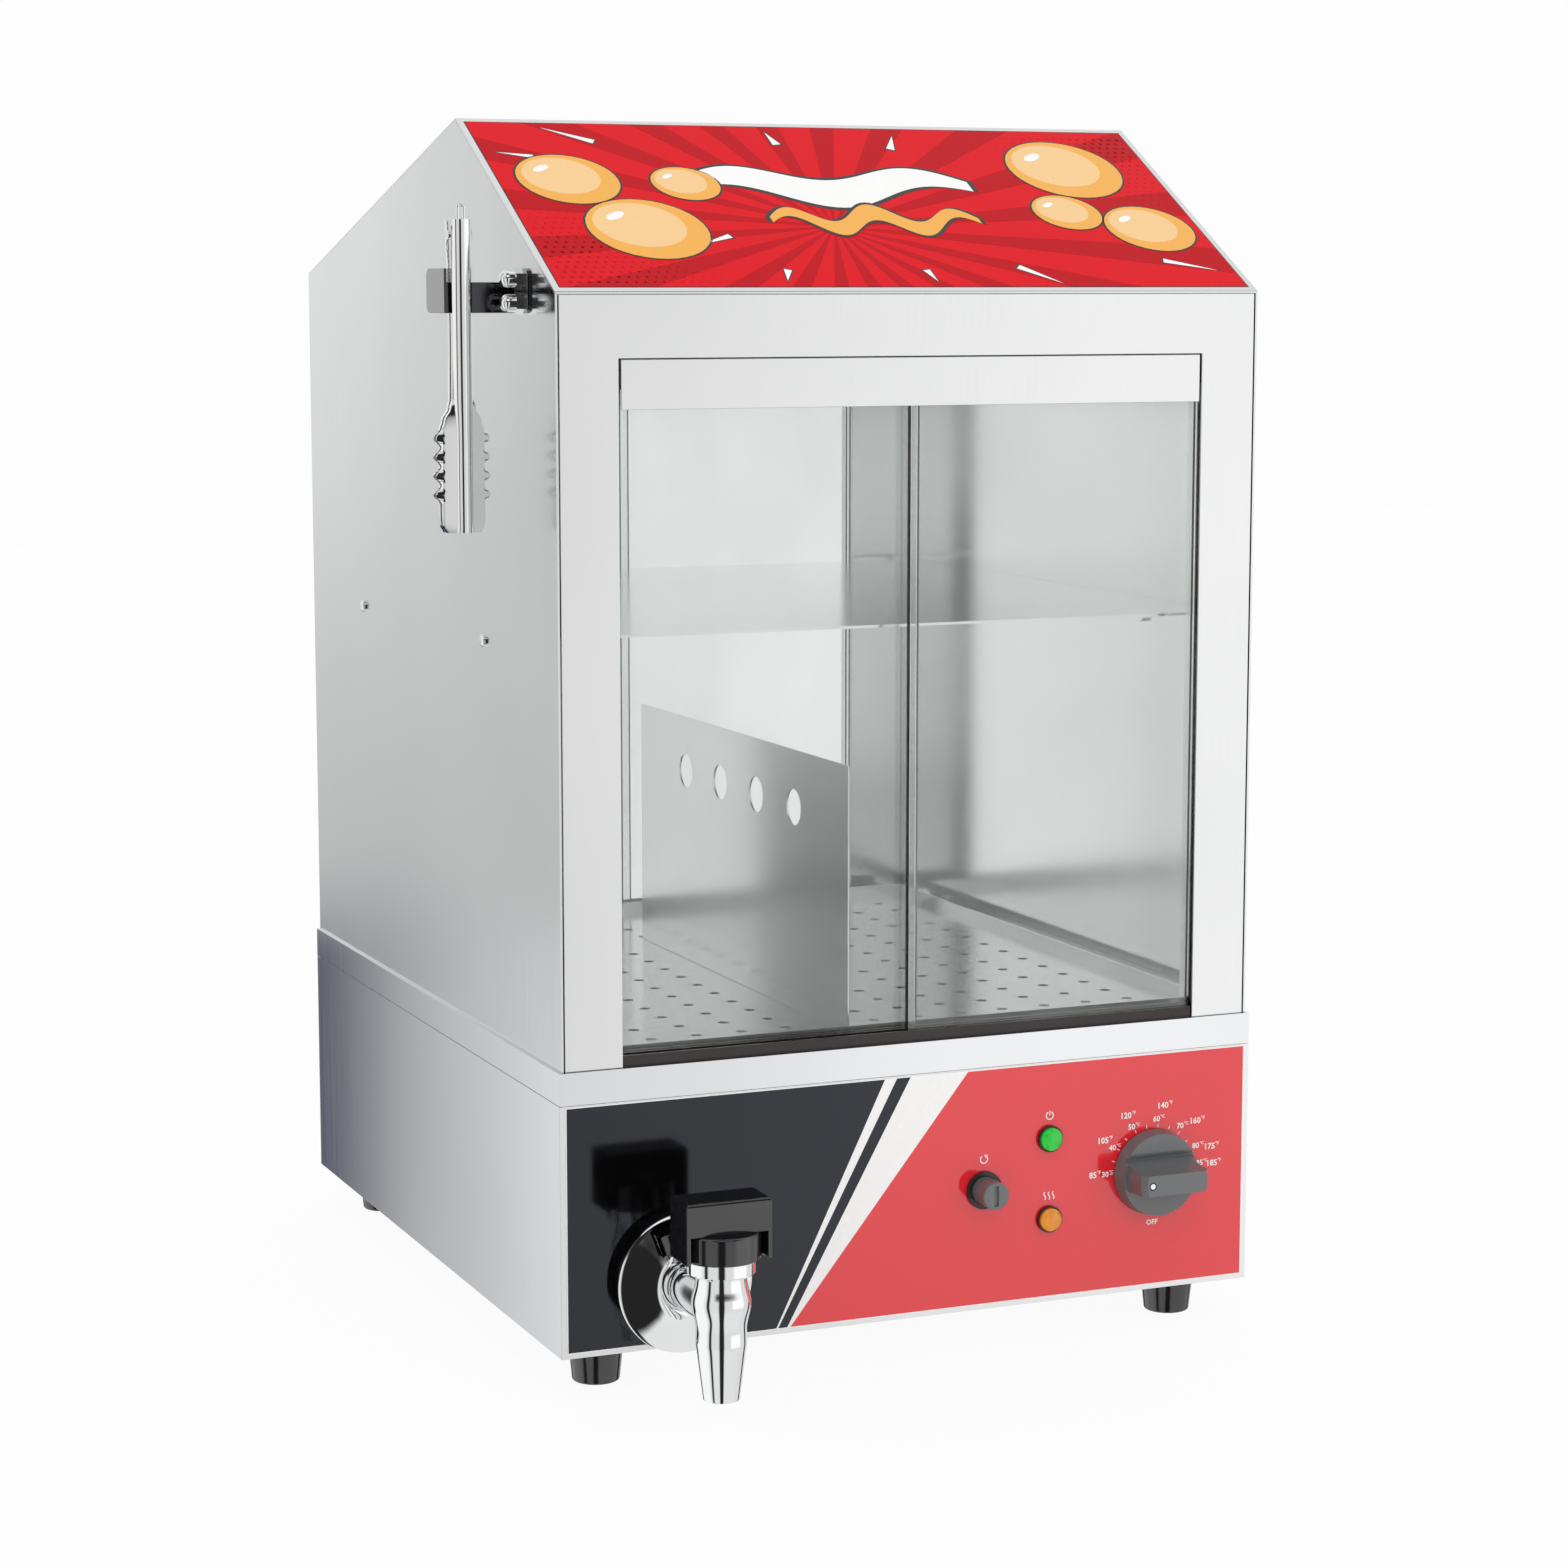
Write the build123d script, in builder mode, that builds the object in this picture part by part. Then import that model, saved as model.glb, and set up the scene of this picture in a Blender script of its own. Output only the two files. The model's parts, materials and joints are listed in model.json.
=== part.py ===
from build123d import *
import os
from math import hypot

# Countertop steamer cabinet for sausages and buns: a gabled stainless cabinet with sliding
# glass doors at the front and the back, standing on a heated water base with a drain tap.
# Millimetres, +Z up, the front faces -Y, and the origin is the middle of the footprint.

os.makedirs("parts", exist_ok=True)

# ------------------------------------------------------------------ driving dimensions

# Cabinet shell
cabinet_width = 400.0
cabinet_depth = 452.0
front_height = 395.5
back_height = 405.5
ridge_height = 486.5
ridge_setback = 157.5
sheet = 1.2
roof_skin = 1.2
flange_width = 10.0
seam_gap = 0.7

# Door openings
stile_width = 33.5
rear_stile_width = 46.0
lintel_height = 33.3
header_height = 25.7
return_depth = 16.0
glass = 4.0
door_overlap = 8.0
door_gap = 1.2
door_top_engagement = 19.0
groove = 5.0
track_wall = 1.5
track_height = 6.0
hanging_wall = 14.0

# Base
foot_height = 23.0
foot_radius_top = 15.0
foot_radius_bottom = 12.6
foot_inset_x = 29.0
foot_inset_y = 32.0
base_height = 133.5
rim_height = 17.0
base_overhang = 1.7
rim_clearance = 0.1
base_flange = 14.0
overlay_thickness = 0.4
overlay_margin_side = 3.0
overlay_margin_top = 1.0
overlay_margin_bottom = 2.7

# Water pan
well_depth = 82.0
well_side_inset = 20.0
well_front_inset = 62.0
well_back_inset = 22.0
well_corner_radius = 5.0

# Drain tap
tap_x = 63.4
tap_height = 36.5
tap_reach = 60.0
escutcheon_radius = 37.5
escutcheon_depth = 14.6
shank_radius = 10.0
spout_drop = 11.5
shoulder_rise = 18.0
waist_rise = 26.0
bulge_rise = 40.0
neck_rise = 53.5
cap_radius = 21.2
cap_height = 14.5
handle_length = 47.6
handle_depth = 24.0
handle_height = 17.3
handle_travel = 5.0
collar_rest = 4.0
collar_height = handle_travel + collar_rest
drain_y = 104.0
hose_wall = 2.5

# Controls on the front of the base, from the cabinet's right face and the base's bottom
knob_x = 57.7
knob_z = 66.6
knob_radius = 24.0
knob_face_radius = 22.8
knob_skirt = 9.6
knob_projection = 28.3
grip_width = 11.6
shaft_radius = 3.0
reset_x = 160.8
reset_z = 66.3
reset_ring_radius = 10.4
reset_cap_radius = 7.6
reset_projection = 15.8
reset_travel = 3.0
lamp_x = 121.4
power_lamp_z = 91.0
heating_lamp_z = 46.3
lamp_bezel_radius = 7.3
lamp_lens_radius = 6.3
lamp_barrel_radius = 5.4

# Cabinet fittings
shelf_height = 221.0
shelf_front = 24.0
shelf_back_gap = 22.0
shelf_flange = 20.0
shelf_screw_drop = 9.7
shelf_screw_front = 117.0
shelf_screw_back = 342.0
tray_side_gap = 12.0
tray_front = 22.0
tray_back_gap = 22.0
tray_hole_radius = 3.0
tray_hole_pitch = 26.0
divider_x = 172.0
divider_front = 28.0
divider_length = 310.0
divider_height = 145.0
divider_foot = 12.0
divider_hole_radius = 10.0
divider_hole_pitch = 54.0
divider_hole_drop = 32.0

# Tongs and their bracket on the left wall
bracket_y = 56.2
bracket_z = 384.5
bracket_reach = 39.5
bracket_height = 15.5
bracket_flange_height = 22.5
bracket_flange_length = 30.0
bracket_foot_length = 20.0
bracket_sheet = 1.5
tongs_offset = 31.0
tongs_top = 431.5
tongs_length = 158.0
arm_width = 11.0
arm_depth = 7.0
arm_sheet = 1.2
jaw_length = 62.0
jaw_half_width = 11.0
tooth_depth = 3.5
tooth_pitch = 9.6
tooth_count = 4
tongs_pin_drop = 8.0
ring_height = 8.0

# Clearances
running = 0.05
free = 0.3

# ------------------------------------------------------------------ reference positions

gland_projection = 16.0
tongs_overhang = tongs_offset + jaw_half_width + tooth_depth
tap_overhang = tap_reach + cap_radius

left = -(cabinet_width + base_overhang - tongs_overhang) / 2
right = left + cabinet_width
front = -(cabinet_depth + base_overhang + gland_projection - tap_overhang) / 2
back = front + cabinet_depth
middle_x = (left + right) / 2

base_bottom = foot_height
rim_bottom = base_bottom + base_height
rim_top = rim_bottom + rim_height
front_eave = rim_top + front_height
back_eave = rim_top + back_height
ridge_y = front + ridge_setback
ridge_z = rim_top + ridge_height
opening_top = front_eave - lintel_height

wall_front = front - base_overhang
wall_back = back + base_overhang
wall_left = left - base_overhang
wall_right = right + base_overhang
overlay_face = wall_front - overlay_thickness
pan_floor = rim_top - well_depth
well_front = front + well_front_inset
well_back = back - well_back_inset
well_left = left + well_side_inset
well_right = right - well_side_inset

shelf_screw_radius = 2.0
bracket_screw_radius = 2.0
cabinet_screw_radius = 2.0
cabinet_screw_inset = 6.0
cabinet_screw_end_gap = 60.0
cabinet_screws_at = [
    (x, y)
    for x in (left + cabinet_screw_inset, right - cabinet_screw_inset)
    for y in (front + cabinet_screw_end_gap, back - cabinet_screw_end_gap)
]

front_rise = (ridge_z - front_eave) / ridge_setback
back_rise = (ridge_z - back_eave) / (back - ridge_y)
front_slope_factor = hypot(1, front_rise)
back_slope_factor = hypot(1, back_rise)


# ------------------------------------------------------------------ shape helpers

AXIS_TURN = {"x": (0, 90, 0), "y": (90, 0, 0), "z": (0, 0, 0)}


def block(x_span, y_span, z_span, mode=Mode.ADD):
    """Box between two values on each axis, in the active part."""
    spans = [sorted(span) for span in (x_span, y_span, z_span)]
    centre = tuple((low + high) / 2 for low, high in spans)
    size = tuple(high - low for low, high in spans)
    with Locations(centre):
        Box(*size, mode=mode)


def rod_centre(axis, across, middle):
    """Point at `middle` along an axis line that crosses the other two axes at `across`."""
    first, second = across
    return {"x": (middle, first, second), "y": (first, middle, second), "z": (first, second, middle)}[axis]


def rod(axis, across, span, radius, mode=Mode.ADD):
    """Cylinder along one axis, in the active part."""
    low, high = sorted(span)
    with Locations(Location(rod_centre(axis, across, (low + high) / 2), AXIS_TURN[axis])):
        Cylinder(radius, high - low, mode=mode)


def boss(across, y_back, y_front, radius_back, radius_front, mode=Mode.ADD):
    """Tapered round boss along Y, in the active part, whose narrow end faces the front."""
    centre = rod_centre("y", across, (y_back + y_front) / 2)
    with Locations(Location(centre, AXIS_TURN["y"])):
        Cone(radius_back, radius_front, y_back - y_front, mode=mode)


def hexagon(axis, across, span, flats, mode=Mode.ADD):
    """Hexagonal prism along one axis, in the active part."""
    low, high = sorted(span)
    plane = Plane(Location(rod_centre(axis, across, (low + high) / 2), AXIS_TURN[axis]))
    with BuildSketch(plane) as outline:
        RegularPolygon(flats / 2, 6, major_radius=False)
    extrude(outline.sketch, amount=(high - low) / 2, both=True, mode=mode)


def roof_line(y):
    """Height of the roof's outer surface at a depth."""
    if y <= ridge_y:
        return front_eave + (y - front) * front_rise
    return back_eave + (back - y) * back_rise


def roof_strip(x_span, y_span, upper, lower, factor, mode=Mode.ADD):
    """Sheet under one slope of the roof, between two depths below its outer surface."""
    y_low, y_high = y_span
    with BuildSketch(Plane.YZ.offset(x_span[0])) as outline:
        with BuildLine():
            Polyline(
                (y_low, roof_line(y_low) - upper * factor),
                (y_high, roof_line(y_high) - upper * factor),
                (y_high, roof_line(y_high) - lower * factor),
                (y_low, roof_line(y_low) - lower * factor),
                close=True,
            )
        make_face()
    extrude(outline.sketch, amount=x_span[1] - x_span[0], mode=mode)


# ------------------------------------------------------------------ base: walls, floor, feet

control_points = {
    "tap": (left + tap_x, base_bottom + tap_height),
    "knob": (right - knob_x, base_bottom + knob_z),
    "reset": (right - reset_x, base_bottom + reset_z),
    "power": (right - lamp_x, base_bottom + power_lamp_z),
    "heating": (right - lamp_x, base_bottom + heating_lamp_z),
}
tap_at = control_points["tap"]
knob_at = control_points["knob"]
reset_at = control_points["reset"]

knob_bush_radius = 5.0
reset_sleeve_wall = 1.0
reset_sleeve_radius = reset_cap_radius + running + reset_sleeve_wall
panel_holes = {
    "tap": shank_radius + running,
    "knob": knob_bush_radius + running,
    "reset": reset_sleeve_radius + running,
    "power": lamp_barrel_radius + running,
    "heating": lamp_barrel_radius + running,
}

gland_radius = 8.0
gland_bore = 4.5
gland_x = 70.0
gland_z = 32.0
gland_at = (right - gland_x, base_bottom + gland_z)
vent_x = 150.0
vent_z = 70.0
vent_at = (left + vent_x, base_bottom + vent_z)
vent_width = 190.0
vent_height = 62.0
vent_border = 10.0
vent_screw_radius = 1.9
vent_screws_at = [
    (vent_at[0] + side * (vent_width - vent_border) / 2, vent_at[1] + level * (vent_height - vent_border) / 2)
    for side in (-1, 1)
    for level in (-1, 1)
]

floor_top = base_bottom + sheet
ledge_top = rim_bottom - free
housing_top = rim_top - sheet
inner_left = wall_left + sheet
inner_right = wall_right - sheet
inner_front = wall_front + sheet
inner_back = wall_back - sheet
collar_inset = sheet + rim_clearance
collar_depth = collar_inset + sheet
corner_run = (inner_front, inner_back)
collar_run = (wall_front + collar_depth, wall_back - collar_depth)


def folded_wall(axis, face, inward, runs):
    """Wall of the base with its ledge, collar and bottom flange, in the active part.

    The wall's outer side lies at `face` on `axis`, and `runs` holds the spans along the wall of
    the wall itself, its ledge, its collar and its bottom flange.
    """
    folds = (
        (0, sheet, (base_bottom, ledge_top)),
        (sheet, collar_depth, (ledge_top - sheet, ledge_top)),
        (collar_inset, collar_depth, (ledge_top, housing_top)),
        (sheet, sheet + base_flange, (floor_top, floor_top + sheet)),
    )
    for run, (near, far, height) in zip(runs, folds):
        depth = (face + inward * near, face + inward * far)
        x_span, y_span = (run, depth) if axis == "y" else (depth, run)
        block(x_span, y_span, height)


cross_runs = (
    (wall_left, wall_right),
    (inner_left, inner_right),
    (wall_left + collar_inset, wall_right - collar_inset),
    (inner_left, inner_right),
)
side_runs = (corner_run, collar_run, collar_run, (inner_front + base_flange, inner_back - base_flange))

with BuildPart() as base_front_panel:
    folded_wall("y", wall_front, 1, cross_runs)
    for control, radius in panel_holes.items():
        rod("y", control_points[control], (wall_front, inner_front), radius, Mode.SUBTRACT)

base_front_panel.part.label = "base_front_panel"
export_step(base_front_panel.part, "parts/base_front_panel.step")

with BuildPart() as base_rear_panel:
    folded_wall("y", wall_back, -1, cross_runs)
    rod("y", gland_at, (inner_back, wall_back), gland_radius + running, Mode.SUBTRACT)
    block(
        (vent_at[0] - vent_width / 2 + 2 * vent_border, vent_at[0] + vent_width / 2 - 2 * vent_border),
        (inner_back, wall_back),
        (vent_at[1] - vent_height / 2 + vent_border, vent_at[1] + vent_height / 2 - vent_border),
        Mode.SUBTRACT,
    )
    for place in vent_screws_at:
        rod("y", place, (inner_back, wall_back), vent_screw_radius + running, Mode.SUBTRACT)

base_rear_panel.part.label = "base_rear_panel"
export_step(base_rear_panel.part, "parts/base_rear_panel.step")

with BuildPart() as base_side_panels:
    folded_wall("x", wall_left, 1, side_runs)
    folded_wall("x", wall_right, -1, side_runs)

base_side_panels.part.label = "base_side_panels"
export_step(base_side_panels.part, "parts/base_side_panels.step")

foot_screw_radius = 2.5
foot_screw_head_radius = 4.8
foot_screw_head_height = 3.5
foot_recess_radius = 6.5
foot_recess_depth = 12.0
foot_edge_radius = 1.5
foot_nut_height = 4.0
foot_nut_flats = 8.0
foot_places = [
    (x, y)
    for x in (left + foot_inset_x, right - foot_inset_x)
    for y in (front + foot_inset_y, back - foot_inset_y)
]

with BuildPart() as base_floor:
    block(
        (inner_left + free, inner_right - free),
        (inner_front + free, inner_back - free),
        (base_bottom, floor_top),
    )
    for place in foot_places:
        rod("z", place, (base_bottom, floor_top), foot_screw_radius + running, Mode.SUBTRACT)

base_floor.part.label = "base_floor"
export_step(base_floor.part, "parts/base_floor.step")

with BuildPart() as feet:
    for foot_x, foot_y in foot_places:
        with Locations((foot_x, foot_y, foot_height / 2)):
            Cone(foot_radius_bottom, foot_radius_top, foot_height)
    fillet(feet.edges().group_by(Axis.Z)[0], radius=foot_edge_radius)
    for place in foot_places:
        rod("z", place, (0, foot_height), foot_screw_radius + running, Mode.SUBTRACT)
        rod("z", place, (0, foot_recess_depth), foot_recess_radius, Mode.SUBTRACT)

feet.part.label = "feet"
export_step(feet.part, "parts/feet.step")

foot_nut_top = floor_top + foot_nut_height
foot_screw_head_bottom = foot_recess_depth - foot_screw_head_height
with BuildPart() as foot_fasteners:
    for place in foot_places:
        hexagon("z", place, (floor_top, foot_nut_top), foot_nut_flats)
        rod("z", place, (floor_top, foot_nut_top), foot_screw_radius + running, Mode.SUBTRACT)
        rod("z", place, (foot_screw_head_bottom, foot_recess_depth), foot_screw_head_radius)
        rod("z", place, (foot_recess_depth, foot_nut_top), foot_screw_radius)

foot_fasteners.part.label = "foot_fasteners"
export_step(foot_fasteners.part, "parts/foot_fasteners.step")

# ------------------------------------------------------------------ base: front overlay and back cover

with BuildPart() as control_overlay:
    block(
        (left - base_overhang + overlay_margin_side, right + base_overhang - overlay_margin_side),
        (overlay_face, wall_front),
        (base_bottom + overlay_margin_bottom, rim_bottom - overlay_margin_top),
    )
    for control, radius in panel_holes.items():
        rod("y", control_points[control], (overlay_face, wall_front), radius, Mode.SUBTRACT)

control_overlay.part.label = "control_overlay"
export_step(control_overlay.part, "parts/control_overlay.step")

louvre_count = 4
louvre_height = 3.5
louvre_pitch = 10.0
cover_face = wall_back + sheet

with BuildPart() as vent_cover:
    block(
        (vent_at[0] - vent_width / 2, vent_at[0] + vent_width / 2),
        (wall_back, cover_face),
        (vent_at[1] - vent_height / 2, vent_at[1] + vent_height / 2),
    )
    for row in range(louvre_count):
        louvre_z = vent_at[1] + (row - (louvre_count - 1) / 2) * louvre_pitch
        block(
            (vent_at[0] - vent_width / 2 + 3 * vent_border, vent_at[0] + vent_width / 2 - 3 * vent_border),
            (wall_back, cover_face),
            (louvre_z - louvre_height / 2, louvre_z + louvre_height / 2),
            Mode.SUBTRACT,
        )
    for place in vent_screws_at:
        rod("y", place, (wall_back, cover_face), vent_screw_radius + running, Mode.SUBTRACT)

vent_cover.part.label = "vent_cover"
export_step(vent_cover.part, "parts/vent_cover.step")

vent_screw_head_radius = 3.4
vent_screw_head_height = 2.2
vent_screw_length = 8.0

with BuildPart() as vent_screws:
    for place in vent_screws_at:
        rod("y", place, (cover_face, cover_face + vent_screw_head_height), vent_screw_head_radius)
        rod("y", place, (cover_face - vent_screw_length, cover_face), vent_screw_radius)

vent_screws.part.label = "vent_screws"
export_step(vent_screws.part, "parts/vent_screws.step")

# ------------------------------------------------------------------ water pan, element and drain

well_corner_inner = well_corner_radius - sheet
drain_at = (left + tap_x, front + drain_y)
outlet_radius = shank_radius
outlet_bore = outlet_radius - sheet
outlet_length = 14.0
element_radius = 4.0
element_height = 16.0
element_gap = 110.0
element_from_right = 150.0
element_x = right - element_from_right
element_bend_inset = 60.0
element_tail = 20.0
element_y_back = well_back - element_bend_inset
element_y_front = well_front - element_tail
element_z = pan_floor + element_height
bulb_radius = 3.5
bulb_x = right - knob_x
bulb_height = 24.0
bulb_z = pan_floor + bulb_height
bulb_length = 75.0
capillary_radius = 1.2


def well_block(outward, radius, span, mode=Mode.ADD):
    """Rounded block over the well's plan, `outward` past its inner walls, in the active part."""
    bottom, top = span
    width = well_right - well_left + 2 * outward
    depth = well_back - well_front + 2 * outward
    with BuildSketch(Plane.XY.offset(bottom)) as outline:
        with Locations(((well_left + well_right) / 2, (well_front + well_back) / 2)):
            RectangleRounded(width, depth, radius)
    extrude(outline.sketch, amount=top - bottom, mode=mode)


with BuildPart() as base_rim:
    block((wall_left, wall_right), (wall_front, wall_back), (rim_bottom, rim_top))
    block((inner_left, inner_right), (inner_front, inner_back), (rim_bottom, housing_top), Mode.SUBTRACT)
    well_block(0, well_corner_inner, (housing_top, rim_top), Mode.SUBTRACT)
    for place in cabinet_screws_at:
        rod("z", place, (housing_top, rim_top), cabinet_screw_radius + running, Mode.SUBTRACT)

base_rim.part.label = "base_rim"
export_step(base_rim.part, "parts/base_rim.step")

with BuildPart() as water_pan:
    well_block(sheet, well_corner_radius, (pan_floor - sheet, housing_top))
    well_block(0, well_corner_inner, (pan_floor, housing_top), Mode.SUBTRACT)
    rod("z", drain_at, (pan_floor - sheet - outlet_length, pan_floor), outlet_radius)
    rod("z", drain_at, (pan_floor - sheet - outlet_length, pan_floor), outlet_bore, Mode.SUBTRACT)
    for side in (-1, 1):
        element_leg = (element_x + side * element_gap / 2, element_z)
        rod("y", element_leg, (well_front - sheet, well_front), element_radius + running, Mode.SUBTRACT)
    rod("y", (bulb_x, bulb_z), (well_front - sheet, well_front), bulb_radius + running, Mode.SUBTRACT)

water_pan.part.label = "water_pan"
export_step(water_pan.part, "parts/water_pan.step")

with BuildPart() as heating_element:
    with BuildLine() as element_path:
        Line(
            (element_x - element_gap / 2, element_y_front, element_z),
            (element_x - element_gap / 2, element_y_back, element_z),
        )
        ThreePointArc(
            (element_x - element_gap / 2, element_y_back, element_z),
            (element_x, element_y_back + element_gap / 2, element_z),
            (element_x + element_gap / 2, element_y_back, element_z),
        )
        Line(
            (element_x + element_gap / 2, element_y_back, element_z),
            (element_x + element_gap / 2, element_y_front, element_z),
        )
    with BuildSketch(Plane((element_x - element_gap / 2, element_y_front, element_z), z_dir=(0, 1, 0))):
        Circle(element_radius)
    sweep()

heating_element.part.label = "heating_element"
export_step(heating_element.part, "parts/heating_element.step")

shank_inside = 34.0
shank_end = front + shank_inside
hose_inner = shank_radius + running
hose_outer = hose_inner + hose_wall
hose_bend = 16.0
hose_grip = 12.0

with BuildPart() as drain_hose:
    with BuildLine() as hose_path:
        hose_run = Polyline(
            (drain_at[0], drain_at[1], pan_floor - sheet - free),
            (drain_at[0], drain_at[1], tap_at[1]),
            (drain_at[0], shank_end - hose_grip, tap_at[1]),
        )
        fillet(hose_run.vertices().sort_by(Axis.Z)[0:2].sort_by(Axis.Y)[-1], radius=hose_bend)
    with BuildSketch(Plane.XY.offset(pan_floor - sheet - free)):
        with Locations(drain_at):
            Circle(hose_outer)
            Circle(hose_inner, mode=Mode.SUBTRACT)
    sweep()

drain_hose.part.label = "drain_hose"
export_step(drain_hose.part, "parts/drain_hose.step")

clamp_width = 7.0
clamp_thickness = 1.0
clamp_inner = hose_outer + running
clamp_inset = 2.0

with BuildPart() as hose_clamps:
    upper_start = pan_floor - sheet - outlet_length + clamp_inset
    lower_start = shank_end - hose_grip + clamp_inset
    upper_clamp = (upper_start, upper_start + clamp_width)
    lower_clamp = (lower_start, lower_start + clamp_width)
    rod("z", drain_at, upper_clamp, clamp_inner + clamp_thickness)
    rod("z", drain_at, upper_clamp, clamp_inner, Mode.SUBTRACT)
    rod("y", (drain_at[0], tap_at[1]), lower_clamp, clamp_inner + clamp_thickness)
    rod("y", (drain_at[0], tap_at[1]), lower_clamp, clamp_inner, Mode.SUBTRACT)

hose_clamps.part.label = "hose_clamps"
export_step(hose_clamps.part, "parts/hose_clamps.step")

# ------------------------------------------------------------------ controls behind the front wall

thermostat_width = 42.0
thermostat_height = 46.0
thermostat_depth = 30.0
switch_width = 30.0
switch_height = 30.0
switch_depth = 24.0
bush_nut_height = 3.0
bush_nut_flats = 14.0
thermostat_front = inner_front
shaft_grip = 6.0
shaft_bore_depth = 10.0
shaft_front = overlay_face - knob_skirt - shaft_grip

shaft_end = thermostat_front + shaft_bore_depth
with BuildPart() as thermostat_body:
    block(
        (knob_at[0] - thermostat_width / 2, knob_at[0] + thermostat_width / 2),
        (thermostat_front, thermostat_front + thermostat_depth),
        (knob_at[1] - thermostat_height / 2, knob_at[1] + thermostat_height / 2),
    )
    rod("y", knob_at, (overlay_face - bush_nut_height, thermostat_front), knob_bush_radius)
    rod("y", knob_at, (overlay_face - bush_nut_height, shaft_end), shaft_radius + running, Mode.SUBTRACT)

thermostat_body.part.label = "thermostat_body"
export_step(thermostat_body.part, "parts/thermostat_body.step")

with BuildPart() as thermostat_shaft:
    rod("y", knob_at, (shaft_front, shaft_end - free), shaft_radius)

thermostat_shaft.part.label = "thermostat_shaft"
export_step(thermostat_shaft.part, "parts/thermostat_shaft.step")

with BuildPart() as thermostat_bulb:
    rod("y", (bulb_x, bulb_z), (well_front - sheet - bulb_radius, well_front + bulb_length), bulb_radius)
    rod("y", (bulb_x, bulb_z), (thermostat_front + thermostat_depth, well_front), capillary_radius)

thermostat_bulb.part.label = "thermostat_bulb"
export_step(thermostat_bulb.part, "parts/thermostat_bulb.step")

reset_stem_radius = 2.5
reset_stem_depth = 8.0
reset_ring_thickness = 1.8
reset_slot_width = 2.5
reset_slot_length = 11.0
reset_slot_depth = 1.5
reset_cap_edge = 0.8
reset_cap_front = overlay_face - reset_projection
ring_front = overlay_face - reset_ring_thickness
cap_back = inner_front - sheet

stem_bore_end = inner_front + reset_stem_depth + reset_travel
with BuildPart() as limit_switch:
    block(
        (reset_at[0] - switch_width / 2, reset_at[0] + switch_width / 2),
        (inner_front, inner_front + switch_depth),
        (reset_at[1] - switch_height / 2, reset_at[1] + switch_height / 2),
    )
    rod("y", reset_at, (inner_front, stem_bore_end), reset_stem_radius + running, Mode.SUBTRACT)
    rod("y", reset_at, (inner_front, inner_front + reset_travel), reset_cap_radius + running, Mode.SUBTRACT)

limit_switch.part.label = "limit_switch"
export_step(limit_switch.part, "parts/limit_switch.step")

with BuildPart() as reset_ring:
    rod("y", reset_at, (ring_front, overlay_face), reset_ring_radius)
    rod("y", reset_at, (overlay_face, inner_front), reset_sleeve_radius)
    rod("y", reset_at, (ring_front, inner_front), reset_cap_radius + running, Mode.SUBTRACT)

reset_ring.part.label = "reset_ring"
export_step(reset_ring.part, "parts/reset_ring.step")

with BuildPart() as reset_button:
    rod("y", reset_at, (reset_cap_front, cap_back), reset_cap_radius)
    fillet(reset_button.edges().group_by(Axis.Y)[0], radius=reset_cap_edge)
    rod("y", reset_at, (cap_back, inner_front + reset_stem_depth), reset_stem_radius)
    block(
        (reset_at[0] - reset_slot_width / 2, reset_at[0] + reset_slot_width / 2),
        (reset_cap_front, reset_cap_front + reset_slot_depth),
        (reset_at[1] - reset_slot_length / 2, reset_at[1] + reset_slot_length / 2),
        Mode.SUBTRACT,
    )

reset_button.part.label = "reset_button"
export_step(reset_button.part, "parts/reset_button.step")

bezel_thickness = 2.2
lens_height = 3.2
lamp_body_depth = 26.0
lens_depth = 3.0
lens_crown = 2.0
lens_seat = 0.6
lamp_barrel_wall = 1.0
lamp_bore_radius = lamp_barrel_radius - lamp_barrel_wall
lamp_front = overlay_face - bezel_thickness
lens_back = overlay_face - lens_seat

with BuildPart() as pilot_lamps:
    for lamp_at in (control_points["power"], control_points["heating"]):
        rod("y", lamp_at, (lamp_front, overlay_face), lamp_bezel_radius)
        rod("y", lamp_at, (overlay_face, inner_front + lamp_body_depth), lamp_barrel_radius)
        rod("y", lamp_at, (lamp_front, lens_back), lamp_lens_radius + running, Mode.SUBTRACT)
        rod("y", lamp_at, (lens_back, overlay_face + lens_depth), lamp_bore_radius, Mode.SUBTRACT)

pilot_lamps.part.label = "pilot_lamps"
export_step(pilot_lamps.part, "parts/pilot_lamps.step")

for lamp_name in ("power", "heating"):
    with BuildPart() as lamp_lens:
        rod("y", control_points[lamp_name], (lamp_front - lens_height, lens_back), lamp_lens_radius)
        fillet(lamp_lens.edges().group_by(Axis.Y)[0], radius=lens_crown)
    lamp_lens.part.label = f"{lamp_name}_lens"
    export_step(lamp_lens.part, f"parts/{lamp_name}_lens.step")

terminal_from_right = 100.0
terminal_from_back = 60.0
terminal_x = right - terminal_from_right
terminal_y = back - terminal_from_back
terminal_pole_count = 4
terminal_pole_pitch = 12.0
terminal_pole_height = 18.0
terminal_depth = 22.0
terminal_base = 5.0

with BuildPart() as terminal_block:
    terminal_width = terminal_pole_count * terminal_pole_pitch
    block(
        (terminal_x - terminal_width / 2, terminal_x + terminal_width / 2),
        (terminal_y - terminal_depth / 2, terminal_y + terminal_depth / 2),
        (floor_top, floor_top + terminal_base),
    )
    for pole in range(terminal_pole_count):
        pole_x = terminal_x + (pole - (terminal_pole_count - 1) / 2) * terminal_pole_pitch
        block(
            (pole_x - terminal_pole_pitch / 3, pole_x + terminal_pole_pitch / 3),
            (terminal_y - terminal_depth / 2, terminal_y + terminal_depth / 2),
            (floor_top, floor_top + terminal_pole_height),
        )

terminal_block.part.label = "terminal_block"
export_step(terminal_block.part, "parts/terminal_block.step")

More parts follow.
